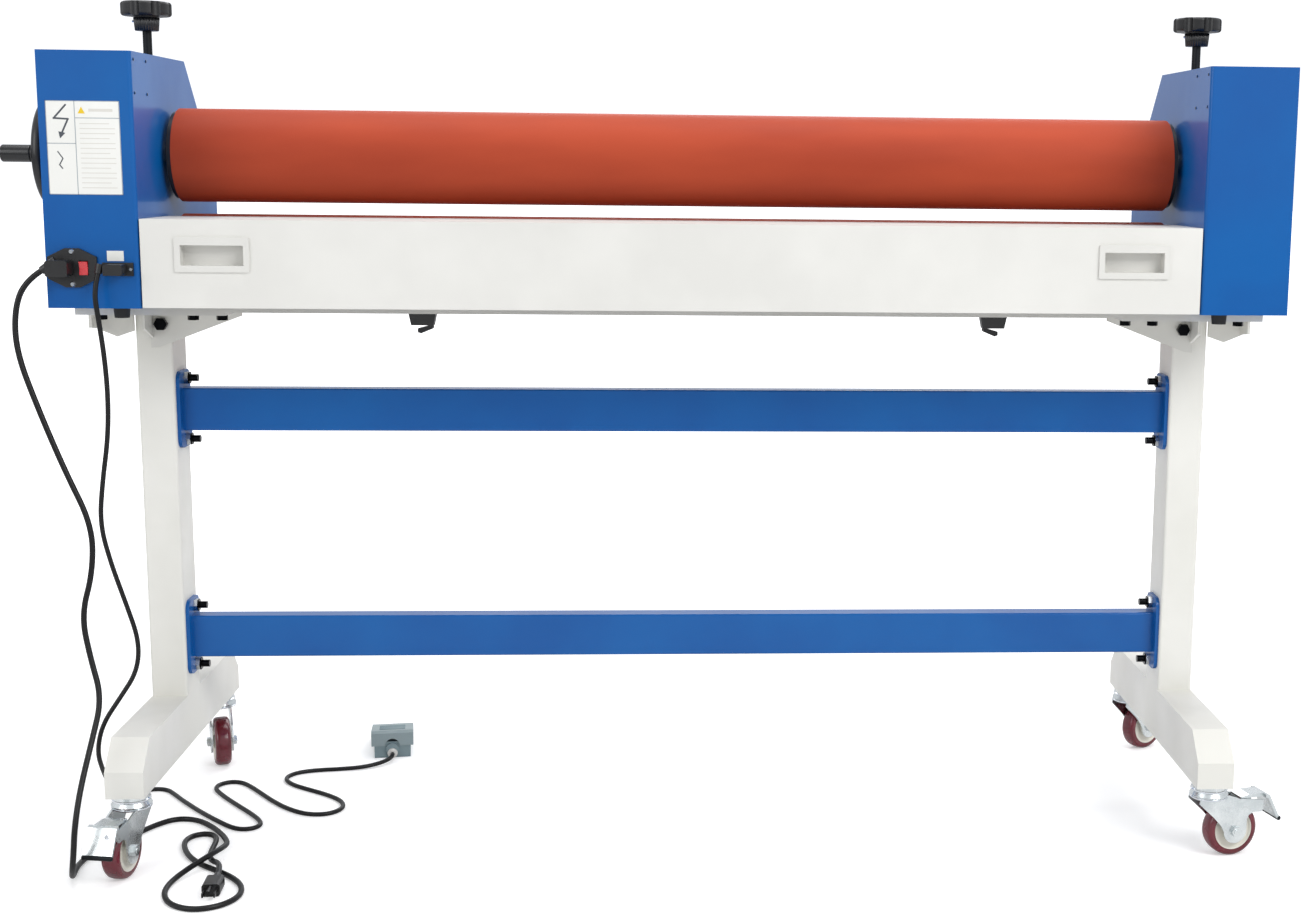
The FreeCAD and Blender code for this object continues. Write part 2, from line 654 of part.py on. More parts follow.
def head_bracket():
    """The bent plate that joins a column to the rails under the head, for the +X end."""
    t = bracket_thick
    z1 = bracket_top
    z0 = bracket_top - t
    wing_x = column_inner_x + 100.0
    far_x = column_inner_x - 96.0
    near_x = column_inner_x + 28.0
    top = box(column_inner_x - 5.0, wing_x, front_rail_y, back_rail_y + rail_depth, z0, z1)
    top = top.fuse(box(far_x, column_inner_x, front_rail_y, column_y0, z0, z1))
    gusset = [(near_x, z1), (near_x, 676.0), (near_x - 11.0, 677.0), (far_x, 720.5), (far_x, z1)]
    body = top.fuse(plate_xz(gusset, column_y0 - t, column_y0))
    flange = [(column_y0 - t, z1), (column_y0 - t, 690.0), (column_y0 - 45.0, 706.0), (column_y0 - 45.0, z1)]
    body = body.fuse(plate_yz(flange, near_x - t, near_x))
    wing = [(column_outer_x, z1), (wing_x, z1), (wing_x, 702.0), (wing_x - 27.0, 691.0), (column_outer_x, 699.0)]
    body = body.fuse(plate_xz(wing, column_y0 - 5.0, column_y0 - 1.0))
    edge = [(column_y0 - 1.0, z1), (column_y0 - 1.0, 702.0), (column_y0 - 40.0, 706.0), (column_y0 - 40.0, z1)]
    body = body.fuse(plate_yz(edge, wing_x - t, wing_x))
    for x, y in bracket_bolt_places:
        body = body.cut(rod_z(x, y, z0 - 1, z1 + 1, 5.2))
    return body.cut(rod_y(column_bolt_x, column_y0 - t - 1, column_y0 + 1, column_bolt_z, 5.2)).removeSplitter()


bracket_bolt_places = [(column_inner_x + x, y) for x, y in ((-88.0, -95.0), (-50.0, -95.0), (70.0, -95.0),
                                                            (15.0, 127.0), (80.0, 127.0))]
column_bolt_x = column_inner_x + 13.0
column_bolt_z = 709.0
save("head_brackets", both_ends(head_bracket()))

# ---------------------------------------------------------------- stand
def leg():
    """A column welded on a foot that is bent down at both ends, for the +X end."""
    x0 = column_inner_x
    x1 = column_outer_x
    w = tube_wall
    c = foot_chamfer
    outline = [(foot_y0, foot_bottom), (foot_y1, foot_bottom), (foot_y1, foot_top - c), (foot_y1 - c, foot_top),
               (foot_y0 + c, foot_top), (foot_y0, foot_top - c)]
    lean = w * (math.sqrt(2) - 1)
    inside = [(foot_y0 + w, foot_bottom - 1), (foot_y1 - w, foot_bottom - 1), (foot_y1 - w, foot_top - c - lean),
              (foot_y1 - c - lean, foot_top - w), (foot_y0 + c + lean, foot_top - w), (foot_y0 + w, foot_top - c - lean)]
    foot = plate_yz(outline, x0, x1).cut(plate_yz(inside, x0 + w, x1 - w))
    for y0, y1 in ((foot_y0 + w, foot_y0 + 62.0), (foot_y1 - 62.0, foot_y1 - w)):
        foot = foot.fuse(box(x0 + w, x1 - w, y0, y1, foot_bottom, foot_bottom + 4.0))
    column = box(x0, x1, column_y0, column_y1, foot_top - w, column_top)
    column = column.makeFillet(4.0, [e for e in column.Edges if abs(e.Vertexes[0].Z - e.Vertexes[1].Z) > 100])
    column = column.cut(box(x0 + w, x1 - w, column_y0 + w, column_y1 - w, foot_top - w - 1, column_top + 1))
    body = foot.fuse(column)
    for z in beam_bolt_heights:
        body = body.cut(rod_x(x0 - 1, x1 + 1, stand_y, z, beam_bolt_radius + 0.3))
    body = body.cut(rod_y(column_bolt_x, column_y0 - 1, column_y0 + w + 1, column_bolt_z, 5.2))
    for y in (caster_front_y, caster_back_y):
        body = body.cut(rod_z(caster_x, y, foot_bottom - 1, foot_bottom + 5, caster_stem_radius + 0.3))
    return body.removeSplitter()


beam_bolt_radius = 5.0
caster_stem_radius = 6.0
beam_bolt_heights = [z + s * beam_bolt_pitch / 2 for z in (upper_beam_z, lower_beam_z) for s in (-1, 1)]
save("right_leg", leg())
save("left_leg", mirrored(leg()))


def beam(z):
    """A cross beam with a welded plate at each end."""
    end = column_inner_x - beam_plate_thick
    y0 = stand_y - beam_depth / 2
    y1 = stand_y + beam_depth / 2
    tube = box(-end, end, y0, y1, z - beam_height / 2, z + beam_height / 2)
    tube = tube.makeFillet(3.0, [e for e in tube.Edges if abs(e.Vertexes[0].X - e.Vertexes[1].X) > 100])
    body = tube
    for side in (-1, 1):
        half = beam_plate_height / 2
        plate = box(end, column_inner_x, stand_y - 29.0, stand_y + 29.0, z - half, z + half)
        plate = plate.makeFillet(14.0, [e for e in plate.Edges if abs(e.Vertexes[0].X - e.Vertexes[1].X) > 1])
        body = body.fuse(plate if side > 0 else mirrored(plate))
    body = body.cut(box(-column_inner_x - 1, column_inner_x + 1, y0 + 2, y1 - 2, z - beam_height / 2 + 2,
                        z + beam_height / 2 - 2))
    for s in (-1, 1):
        body = body.cut(rod_x(-column_inner_x - 1, column_inner_x + 1, stand_y, z + s * beam_bolt_pitch / 2,
                              beam_bolt_radius + 0.3))
    return body.removeSplitter()


save("cross_beams", [beam(upper_beam_z), beam(lower_beam_z)])

# bolts that hold the stand together: each is one solid with its head, shank and nut
stand_bolts = []
for z in beam_bolt_heights:
    bolt = rod_x(column_inner_x - 24.0, column_outer_x + 1.0, stand_y, z, beam_bolt_radius)
    bolt = bolt.fuse(hexagon_x(column_outer_x, column_outer_x + 6.4, stand_y, z, 16.0))
    bolt = bolt.fuse(hexagon_x(column_inner_x - beam_plate_thick - 8.0, column_inner_x - beam_plate_thick, stand_y, z,
                               16.0))
    stand_bolts += both_ends(bolt)
for x, y in bracket_bolt_places:
    z0 = bracket_top - bracket_thick
    bolt = rod_z(x, y, z0 - 1.0, rail_bottom, 4.0).fuse(hexagon_z(x, y, z0 - 7.0, z0, 13.0))
    stand_bolts += both_ends(bolt)
bolt = rod_y(column_bolt_x, column_y0 - bracket_thick - 1.0, column_y0 + 12.0, column_bolt_z, 5.0)
bolt = bolt.fuse(hexagon_y(column_bolt_x, column_y0 - bracket_thick - 8.0, column_y0 - bracket_thick, column_bolt_z,
                           16.0))
stand_bolts += both_ends(bolt)
save("stand_bolts", stand_bolts)

# ---------------------------------------------------------------- casters
raceway_bottom = 90.0
crown_bottom = 84.5
fork_inside = caster_wheel_width / 2 + 2.5
fork_outside = fork_inside + 2.5
fork_lug_radius = 17.5
fork_arm_reach = 76.0
pedal_pin_u = 46.0
pedal_pin_z = 78.0

casters = {
    "front_left": (-caster_x, caster_front_y, front_left_trail, True),
    "front_right": (caster_x, caster_front_y, 14.0, True),
    "rear_left": (-caster_x, caster_back_y, -72.0, False),
    "rear_right": (caster_x, caster_back_y, 33.0, False),
}


def caster_fork(braked):
    """The swivelling fork, trailing along +X from a swivel axis at the origin."""
    fork = cone(V(0, 0, crown_bottom), V(0, 0, raceway_bottom - 0.3), 24.0, 26.0)
    top = crown_bottom + 4.0
    lug = fork_lug_radius
    round_end = [(caster_trail + lug * math.cos(math.radians(t)), caster_wheel_radius + lug * math.sin(math.radians(t)))
                 for t in range(180, 361, 15)]
    back = [(-20.0, top), (-22.0, 80.0), (0.0, 59.5), (11.0, 47.5)]
    if braked:
        front = [(caster_trail + lug, 52.0), (caster_trail + lug + 2.5, 58.5), (caster_trail + lug + 9.0, 62.0),
                 (fork_arm_reach - 3.0, 61.5), (fork_arm_reach, 65.0), (fork_arm_reach, 78.5), (40.0, 82.5),
                 (24.0, top)]
    else:
        front = [(caster_trail + lug, 46.0), (44.0, 64.0), (30.0, 80.0), (22.0, top)]
    for side in (-1, 1):
        y0 = fork_inside if side > 0 else -fork_outside
        fork = fork.fuse(plate_xz(back + round_end + front, y0, y0 + 2.5))
    return fork.removeSplitter()


def caster_axle():
    """The axle bolt with a nut at each end."""
    reach = fork_outside + 6.0
    axle = rod_y(caster_trail, -reach, reach, caster_wheel_radius, axle_radius)
    axle = axle.fuse(hexagon_y(caster_trail, fork_outside, fork_outside + 5.0, caster_wheel_radius, 13.0))
    return axle.fuse(hexagon_y(caster_trail, -fork_outside - 5.0, -fork_outside, caster_wheel_radius, 13.0))


def caster_wheel():
    """A polyurethane tyre on a moulded hub."""
    half = caster_wheel_width / 2
    x = caster_trail
    tyre = rod_y(x, -half, half, caster_wheel_radius, caster_wheel_radius)
    tyre = tyre.makeFillet(3.5, [e for e in tyre.Edges if len(e.Vertexes) == 1])
    tyre = tyre.cut(rod_y(x, -half - 1, half + 1, caster_wheel_radius, caster_hub_radius))
    hub = rod_y(x, -half, half, caster_wheel_radius, caster_hub_radius)
    hub = hub.cut(rod_y(x, -half - 1, half + 1, caster_wheel_radius, axle_radius + running_gap))
    for y0, y1 in ((-half - 1, -half + 5.0), (half - 5.0, half + 1)):
        ring = rod_y(x, y0, y1, caster_wheel_radius, caster_hub_radius - 4.0)
        hub = hub.cut(ring.cut(rod_y(x, y0 - 1, y1 + 1, caster_wheel_radius, 10.0)))
    return [tyre, hub]


def brake_pedal():
    """The foot lever hinged on a pin between the fork's arms, with a shoe that comes down on the tyre."""
    tip = brake_reach
    inside = fork_inside - 0.8
    tread = [(fork_arm_reach + 1.5, 86.5), (84.0, 85.0), (tip - 0.8, 52.0), (tip, 48.5), (tip - 3.0, 48.0),
             (82.0, 80.5), (fork_arm_reach + 1.5, 82.5)]
    arm = [(42.0, 84.0), (56.0, 86.5), (fork_arm_reach + 3.0, 86.5), (fork_arm_reach + 3.0, 82.5), (56.0, 82.0),
           (45.0, 76.0)]
    shoe = [(pedal_pin_u + 6.0, 84.0), (pedal_pin_u + 13.0, 84.0), (pedal_pin_u + 13.0, 71.0),
            (pedal_pin_u + 9.0, 72.8)]
    pedal = plate_xz(arm, -inside, inside).fuse(plate_xz(tread, -brake_half_width, brake_half_width))
    pedal = pedal.fuse(plate_xz(shoe, -9.0, 9.0))
    pedal = pedal.fuse(rod_y(pedal_pin_u, -inside, inside, pedal_pin_z, 4.0))
    return pedal.cut(rod_y(pedal_pin_u, -30, 30, pedal_pin_z, 2.5 + running_gap)).removeSplitter()


def place_caster(shape, name):
    """Turn a caster piece to its trail direction and put it under its foot."""
    x, y, degrees, braked = casters[name]
    copy = turned(shape, V(0, 0, 0), V(0, 0, 1), degrees)
    copy.translate(V(x, y, 0))
    return copy


caster_plates = []
for name in casters:
    top = rod_z(0, 0, raceway_bottom + 8.0, foot_bottom, 24.0)
    race = cone(V(0, 0, raceway_bottom), V(0, 0, raceway_bottom + 8.0), 26.5, 22.0)
    stem = rod_z(0, 0, foot_bottom, foot_bottom + 12.0, caster_stem_radius)
    caster_plates.append(place_caster(top.fuse(race).fuse(stem).removeSplitter(), name))
save("caster_plates", caster_plates)
for name, (x, y, degrees, braked) in casters.items():
    pieces = [caster_fork(braked).cut(caster_axle()), caster_axle()]
    if braked:
        pieces.append(rod_y(pedal_pin_u, -fork_inside, fork_inside, pedal_pin_z, 2.5))
        save(name + "_brake", place_caster(brake_pedal(), name))
    save(name + "_fork", [place_caster(p, name) for p in pieces])
    save(name + "_wheel", [place_caster(p, name) for p in caster_wheel()])

# ---------------------------------------------------------------- foot pedal
pedal_origin = V(pedal_front_x, pedal_front_y, 0)


def place_pedal(shape):
    """Put a pedal piece, drawn with its front middle at the origin, on the floor."""
    copy = turned(shape, V(0, 0, 0), V(0, 0, 1), pedal_turn)
    copy.translate(pedal_origin)
    return copy


base_half = pedal_width / 2 - 9.0
base_side = [(3.5, 0.0), (pedal_length - 2.0, 0.0), (pedal_length - 2.0, 7.5), (58.0, 12.0), (50.0, 26.0),
             (3.5, 26.0)]
pedal_base = plate_yz(base_side, -base_half, base_half)
boss = rod_y(0, 0.5, 5.0, 14.0, 10.0).common(box(-20.0, 20.0, 0.0, 6.0, 2.0, 40.0))
pedal_base = pedal_base.fuse(boss)
grommet = rod_y(0, -4.0, 0.5, 8.0, 5.5)
hinge_y = 98.0
hinge_z = 14.0
lug = box(-24.0, -18.0, hinge_y - 6.0, hinge_y + 6.0, 6.0, 19.0)
pedal_base = pedal_base.fuse(lug).fuse(mirrored(lug))
lid_half = pedal_width / 2 - 4.5
pin_hole = rod_x(-lid_half - 1.0, lid_half + 1.0, hinge_y, hinge_z, 3.0)
pedal_base = pedal_base.cut(pin_hole)
pedal_pin = rod_x(-lid_half, lid_half, hinge_y, hinge_z, 3.0)
save("pedal_base", [place_pedal(p) for p in (pedal_base.removeSplitter(), grommet, pedal_pin)])
tread_side = [(0.0, 20.0), (0.0, 40.5), (4.5, 44.0), (103.0, 25.5), (108.0, 21.0), (108.0, 9.5), (94.0, 9.5)]
hollow_side = [(2.5, 0.0), (2.5, 38.5), (6.0, 41.2), (102.0, 23.1), (105.5, 19.8), (105.5, 0.0)]
tread = plate_yz(tread_side, -lid_half, lid_half)
tread = tread.cut(plate_yz(hollow_side, -lid_half + 2.5, lid_half - 2.5))
tread = tread.cut(rod_y(0, -1.0, 4.0, 20.0, 11.5).fuse(box(-11.5, 11.5, -1.0, 4.0, 10.0, 20.0)))
tread = tread.cut(rod_x(-lid_half - 1, lid_half + 1, hinge_y, hinge_z, 3.0 + running_gap)).removeSplitter()
save("pedal_tread", place_pedal(tread))

# ---------------------------------------------------------------- cords
cords_out = column_inner_x - 700.0
power_route = [V(x - cords_out, y, z) for x, y, z in (
    (-812, -195, 791), (-833, -198, 777), (-846, -202, 741), (-845, -206, 688), (-822, -208, 618),
    (-791, -210, 535), (-759, -213, 464), (-760, -217, 403), (-776, -221, 347), (-766, -226, 292),
    (-750, -237, 240), (-758, -262, 189), (-762, -303, 140), (-764, -326, 98), (-766, -330, 62),
    (-775, -312, 30), (-790, -266, 7), (-800, -215, 4), (-795, -172, 4), (-780, -134, 4), (-756, -98, 4),
    (-740, -64, 4), (-718, -38, 4), (-688, -42, 4), (-660, -70, 4), (-637, -104, 4),
    (-621, -142, 8), (-613, -179, 16), (-625, -212, 16), (-647, -244, 9), (-662, -280, 4),
    (-660, -320, 4), (-642, -356, 4), (-610, -374, 4), (-577, -362, 4), (-560, -330, 4),
    (-566, -294, 4), (-586, -264, 4), (-612, -240, 4), (-640, -216, 4), (-662, -186, 4),
    (-677, -152, 4), (-682, -126, 4), (-675, -106, 4), (-657, -100, 4), (-643, -112, 4),
    (-638, -136, 4), (-637, -163, 4), (-633, -190, 4), (-623, -216, 8), (-610, -237, 13.5),
    (-603, -257, 13.5), (-602, -274, 11))]
pedal_route = [V(x - cords_out, y, z) for x, y, z in (
    (-741, -197, 788), (-746, -202, 766), (-742, -201, 730), (-741, -187, 680), (-744, -170, 625),
    (-751, -156, 570), (-765, -142, 510), (-776, -127, 450), (-770, -108, 392), (-758, -90, 332),
    (-746, -77, 275), (-750, -80, 232), (-771, -96, 198), (-792, -108, 165), (-804, -98, 124),
    (-808, -66, 86), (-811, -26, 50), (-813, 14, 20), (-813, 50, 5), (-806, 78, 3.3),
    (-788, 95, 3.3), (-765, 92, 3.3), (-749, 71, 3.3), (-732, 46, 3.3), (-714, 22, 3.3),
    (-695, -3, 3.3), (-675, -27, 3.3), (-654, -51, 3.3), (-633, -73, 3.3), (-617, -83, 3.3),
    (-600, -80, 3.3), (-592, -65, 3.3), (-599, -45, 3.3), (-616, -19, 3.3), (-638, 10, 3.3),
    (-662, 42, 3.3), (-684, 74, 3.3), (-695, 95, 3.3), (-693, 113, 3.3), (-679, 125, 3.3),
    (-661, 121, 3.3), (-645, 103, 3.3), (-623, 72, 3.3), (-598, 36, 3.3), (-570, 2, 3.3),
    (-537, -24, 3.3), (-505, -24, 3.3), (-488, 2, 3.3), (-497, 34, 3.3), (-524, 62, 3.3),
    (-556, 86, 3.3), (-586, 110, 3.3), (-602, 139, 3.3), (-590, 165, 3.3), (-560, 177, 3.3),
    (-525, 181, 3.3), (-490, 188, 4), (-465, 203, 6), (-452, 223, 8), (-454.4, 240, 8))]


def cord_tube(route, diameter, name):
    """A round cord along straight runs joined by tangent arcs as large as the runs allow."""
    edges = []
    here = route[0]
    smallest = 1e9
    length = 0.0
    for i in range(1, len(route) - 1):
        before = route[i] - route[i - 1]
        after = route[i + 1] - route[i]
        turn = before.getAngle(after)
        trim = 0.45 * min(before.Length, after.Length)
        radius = trim / math.tan(turn / 2)
        smallest = min(smallest, radius)
        if radius < 5.2 * diameter:
            print("  %s point %d: radius %.1f, turn %.0f" % (name, i, radius, math.degrees(turn)))
        a = route[i] - before.normalize() * trim
        b = route[i] + after.normalize() * trim
        toward = (a + b) * 0.5 - route[i]
        centre_distance = radius / math.cos(turn / 2)
        middle = route[i] + toward.normalize() * (centre_distance - radius)
        edges.append(Part.LineSegment(here, a).toShape())
        arc = Part.Arc(a, middle, b).toShape()
        edges.append(arc)
        here = b
    edges.append(Part.LineSegment(here, route[-1]).toShape())
    wire = Part.Wire(edges)
    length = wire.Length
    start = Part.Wire(Part.makeCircle(diameter / 2, route[0], route[1] - route[0]))
    tube = wire.makePipeShell([start], True, False)
    ratio = tube.Volume / (math.pi * diameter ** 2 / 4 * length)
    print("  %s length %.0f, smallest radius %.1f, volume ratio %.4f" % (name, length, smallest, ratio))
    return tube


save("power_cord", cord_tube(power_route, power_cord_dia, "power cord"))
save("pedal_cord", cord_tube(pedal_route, pedal_cord_dia, "pedal cord"))

# connector in the inlet: a nose, a moulded body and a relief that points along the cord
gap = 0.3
nose = box(plug_in_x - 12.0 + gap, plug_in_x + 12.0 - gap, inlet_front - 1.0, head_front + 12.0, inlet_z - 8.5 + gap,
           inlet_z + 8.5 - gap)
hood = box(plug_in_x - 14.0, plug_in_x + 14.0, inlet_front - 26.0, inlet_front - 0.3, inlet_z - 10.5, inlet_z + 10.5)
hood = hood.makeFillet(4.0, [e for e in hood.Edges if abs(e.Vertexes[0].Y - e.Vertexes[1].Y) > 1])
power_exit = power_route[0]
power_heading = (power_route[1] - power_route[0]).normalize()
relief = cone(power_exit - power_heading * 22.0, power_exit, 7.0, 5.2)
save("mains_connector", nose.fuse(hood).fuse(relief).removeSplitter())

# plug on the pedal's cord, in the socket
pedal_exit = pedal_route[0]
pedal_heading = (pedal_route[1] - pedal_route[0]).normalize()
plug_body = box(socket_x - 13.3, socket_x + 11.0, head_front - 24.0, head_front - 3.3, socket_z - 7.0, socket_z + 7.0)
plug_body = plug_body.makeFillet(3.0, [e for e in plug_body.Edges if abs(e.Vertexes[0].Y - e.Vertexes[1].Y) > 1])
relief = cone(pedal_exit - pedal_heading * 12.0, pedal_exit, 5.4, 4.4)
save("pedal_plug", plug_body.fuse(relief).removeSplitter())

# mains plug lying on the floor at the far end
plug_end = power_route[-1]
plug_heading = (power_route[-1] - power_route[-2]).normalize()
flat_heading = V(plug_heading.x, plug_heading.y, 0).normalize()
relief_end = plug_end + plug_heading * 16.0
relief = cone(plug_end, relief_end, 4.6, 6.0)
body = box(0, 34.0, -11.5, 11.5, 0.3, 17.0)
body = body.makeFillet(4.0, [e for e in body.Edges if abs(e.Vertexes[0].X - e.Vertexes[1].X) > 1])
blades = [box(33.0, 52.0, -8.5, -6.5, 6.0, 12.0), box(33.0, 52.0, 6.5, 8.5, 6.0, 12.0)]
body = body.fuse(blades[0]).fuse(blades[1]).fuse(rod_x(33.0, 54.0, 0, 13.5, 2.4))
body.rotate(V(0, 0, 0), V(0, 0, 1), math.degrees(math.atan2(flat_heading.y, flat_heading.x)))
body.translate(V(plug_end.x, plug_end.y, 0) + flat_heading * 14.0)
save("mains_plug", relief.fuse(body).removeSplitter())
print("nodes", len(os.listdir("parts")), "shift", shift)
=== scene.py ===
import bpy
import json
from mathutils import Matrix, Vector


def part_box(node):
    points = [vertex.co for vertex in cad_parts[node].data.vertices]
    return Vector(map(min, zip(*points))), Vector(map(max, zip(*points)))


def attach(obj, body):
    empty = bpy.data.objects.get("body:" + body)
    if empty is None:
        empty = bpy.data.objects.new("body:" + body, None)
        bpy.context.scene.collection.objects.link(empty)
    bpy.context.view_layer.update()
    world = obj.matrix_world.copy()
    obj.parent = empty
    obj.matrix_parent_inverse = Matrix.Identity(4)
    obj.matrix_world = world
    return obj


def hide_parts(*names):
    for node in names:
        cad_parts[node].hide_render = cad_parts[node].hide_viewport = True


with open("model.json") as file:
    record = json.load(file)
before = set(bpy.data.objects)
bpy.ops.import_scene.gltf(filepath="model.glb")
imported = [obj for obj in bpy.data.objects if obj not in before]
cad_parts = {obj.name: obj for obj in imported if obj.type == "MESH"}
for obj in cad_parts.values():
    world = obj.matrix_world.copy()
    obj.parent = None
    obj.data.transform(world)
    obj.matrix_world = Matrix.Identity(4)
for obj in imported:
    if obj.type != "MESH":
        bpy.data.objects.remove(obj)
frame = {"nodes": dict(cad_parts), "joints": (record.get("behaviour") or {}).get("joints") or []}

"""Looks, light and camera for a cold roll laminator on a wheeled stand.

Positions are written in millimetres in the machine's own frame, X = 0 halfway between the
housings, Y = 0 on the roller axes and Z = 0 on the floor, and turned into the part's frame by
Frame.at. Every class below dresses or builds one sub-assembly.
"""

import json
import logging
import math
from dataclasses import dataclass
from enum import Enum

import bpy
import numpy as np
from mathutils import Matrix, Vector

LOG = logging.getLogger("laminator")
MM = 0.001


# ------------------------------------------------------------------ frame and small helpers
class Frame:
    """Turns machine millimetres into the part's metres."""

    def __init__(self) -> None:
        """Find the machine's middle from the housings and the upper roller."""
        left_low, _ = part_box("left_housing")
        _, right_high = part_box("right_housing")
        roller_low, roller_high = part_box("upper_roller_sleeve")
        self.middle_x: float = (left_low[0] + right_high[0]) / 2
        self.middle_y: float = (roller_low[1] + roller_high[1]) / 2

    def at(self, x: float, y: float, z: float) -> Vector:
        """Give a machine point in metres in the part's frame.

        Args:
            x, y, z: machine position in millimetres.

        Returns:
            The same point in the part's frame, in metres.
        """
        return Vector((x * MM + self.middle_x, y * MM + self.middle_y, z * MM))

    def shift(self) -> np.ndarray:
        """The machine's middle as an array in metres."""
        return np.array([self.middle_x, self.middle_y, 0.0])


PLACE = Frame()


def linear(hex_code: str) -> tuple[float, float, float, float]:
    """Convert an sRGB hex colour to linear RGBA.

    Each channel c from 0 to 1 becomes c / 12.92 near black, and above it ((c + 0.055) / 1.055) to the power 2.4.

    Args:
        hex_code: colour such as "#1f5fa6".

    Returns:
        Linear red, green, blue and an alpha of 1.
    """
    channels = [int(hex_code[i:i + 2], 16) / 255 for i in (1, 3, 5)]
    bent = [c / 12.92 if c <= 0.04045 else ((c + 0.055) / 1.055) ** 2.4 for c in channels]
    return (bent[0], bent[1], bent[2], 1.0)


def put(tree: bpy.types.NodeTree, kind: str, settings: dict | None = None, **inputs: object
        ) -> bpy.types.Node:
    """Add one shader node, set its options and fill or link its inputs.

    Args:
        tree: node tree of the material.
        kind: node type, without the ShaderNode prefix.
        settings: attributes of the node.
        inputs: values or output sockets by input name, with spaces written as underscores, or by an i and the
            input's number.

    Returns:
        The new node.
    """
    node = tree.nodes.new("ShaderNode" + kind)
    for key, value in (settings or {}).items():
        setattr(node, key, value)
    for key, value in inputs.items():
        numbered = key[0] == "i" and key[1:].isdigit()
        socket = node.inputs[int(key[1:]) if numbered else key.replace("_", " ")]
        if isinstance(value, bpy.types.NodeSocket):
            tree.links.new(value, socket)
        else:
            socket.default_value = value
    return node


# ------------------------------------------------------------------ finishes
@dataclass(frozen=True)
class Finish:
    """A surface with colour drift, a fine grain and larger undulation, all at real scale.

    Attributes:
        name: material name.
        colour: main sRGB hex colour.
        drift: second sRGB hex colour that the main one drifts towards.
        roughness: mean roughness.
        spread: how far the roughness drifts either way.
        metallic: 0 for paint and plastic, 1 for bare metal.
        grain_mm: size of the fine grain.
        grain_depth_mm: height of the fine grain.
        wave_mm: size of the larger undulation.
        wave_depth_mm: height of the undulation.
        coat: weight of a clear top coat.
        stretch: scale of the pattern along X, Y and Z, below 1 where it is drawn out.
        specular: specular level.
        speckle: how strongly the fine grain shows in the colour.
    """

    name: str
    colour: str
    drift: str
    roughness: float = 0.45
    spread: float = 0.06
    metallic: float = 0.0
    grain_mm: float = 0.5
    grain_depth_mm: float = 0.02
    wave_mm: float = 40.0
    wave_depth_mm: float = 0.0
    coat: float = 0.0
    stretch: tuple[float, float, float] = (1.0, 1.0, 1.0)
    specular: float = 0.5
    speckle: float = 0.15

    def make(self) -> bpy.types.Material:
        """Build the node material, once for each finish, from noise on the object's own coordinates.

        The broad noise has features three times the undulation's size. It moves the colour and the roughness, and
        the fine noise adds to the colour and lifts the surface.

        Returns:
            The material.
        """
        found = bpy.data.materials.get(self.name)
        if found is not None:
            return found
        material = bpy.data.materials.new(self.name)
        material.use_nodes = True
        tree = material.node_tree
        bsdf = tree.nodes["Principled BSDF"]
        where = put(tree, "TexCoord").outputs["Object"]
        spot = put(tree, "Mapping", None, Vector=where, Scale=self.stretch).outputs[0]
        broad = put(tree, "TexNoise", None, Vector=spot, Scale=1.0 / (self.wave_mm * MM * 3), Detail=3.0)
        fine = put(tree, "TexNoise", None, Vector=spot, Scale=1.0 / (self.grain_mm * MM), Detail=2.0)
        wave = put(tree, "TexNoise", None, Vector=spot, Scale=1.0 / (self.wave_mm * MM), Detail=2.0)
        patch = put(tree, "MapRange", None, Value=broad.outputs[0], From_Min=0.35, From_Max=0.65)
        grains = put(tree, "MapRange", None, Value=fine.outputs[0], From_Min=0.3, From_Max=0.7,
                     To_Max=self.speckle)
        amount = put(tree, "Math", {"operation": "ADD", "use_clamp": True}, i0=patch.outputs[0],
                     i1=grains.outputs[0])
        tint = put(tree, "Mix", {"data_type": "RGBA"}, Factor=amount.outputs[0], i6=linear(self.colour),
                   i7=linear(self.drift))
        tree.links.new(tint.outputs[2], bsdf.inputs["Base Color"])
        rough = put(tree, "MapRange", None, Value=broad.outputs[0], From_Min=0.3, From_Max=0.7,
                    To_Min=self.roughness - self.spread, To_Max=self.roughness + self.spread)
        tree.links.new(rough.outputs[0], bsdf.inputs["Roughness"])
        relief = put(tree, "Bump", None, Height=fine.outputs[0], Distance=self.grain_depth_mm * MM, Strength=1.0)
        if self.wave_depth_mm > 0:
            relief = put(tree, "Bump", None, Height=wave.outputs[0], Distance=self.wave_depth_mm * MM,
                         Strength=1.0, Normal=relief.outputs[0])
        tree.links.new(relief.outputs[0], bsdf.inputs["Normal"])
        bsdf.inputs["Metallic"].default_value = self.metallic
        bsdf.inputs["Coat Weight"].default_value = self.coat
        bsdf.inputs["Coat Roughness"].default_value = 0.15
        bsdf.inputs["Specular IOR Level"].default_value = self.specular
        return material


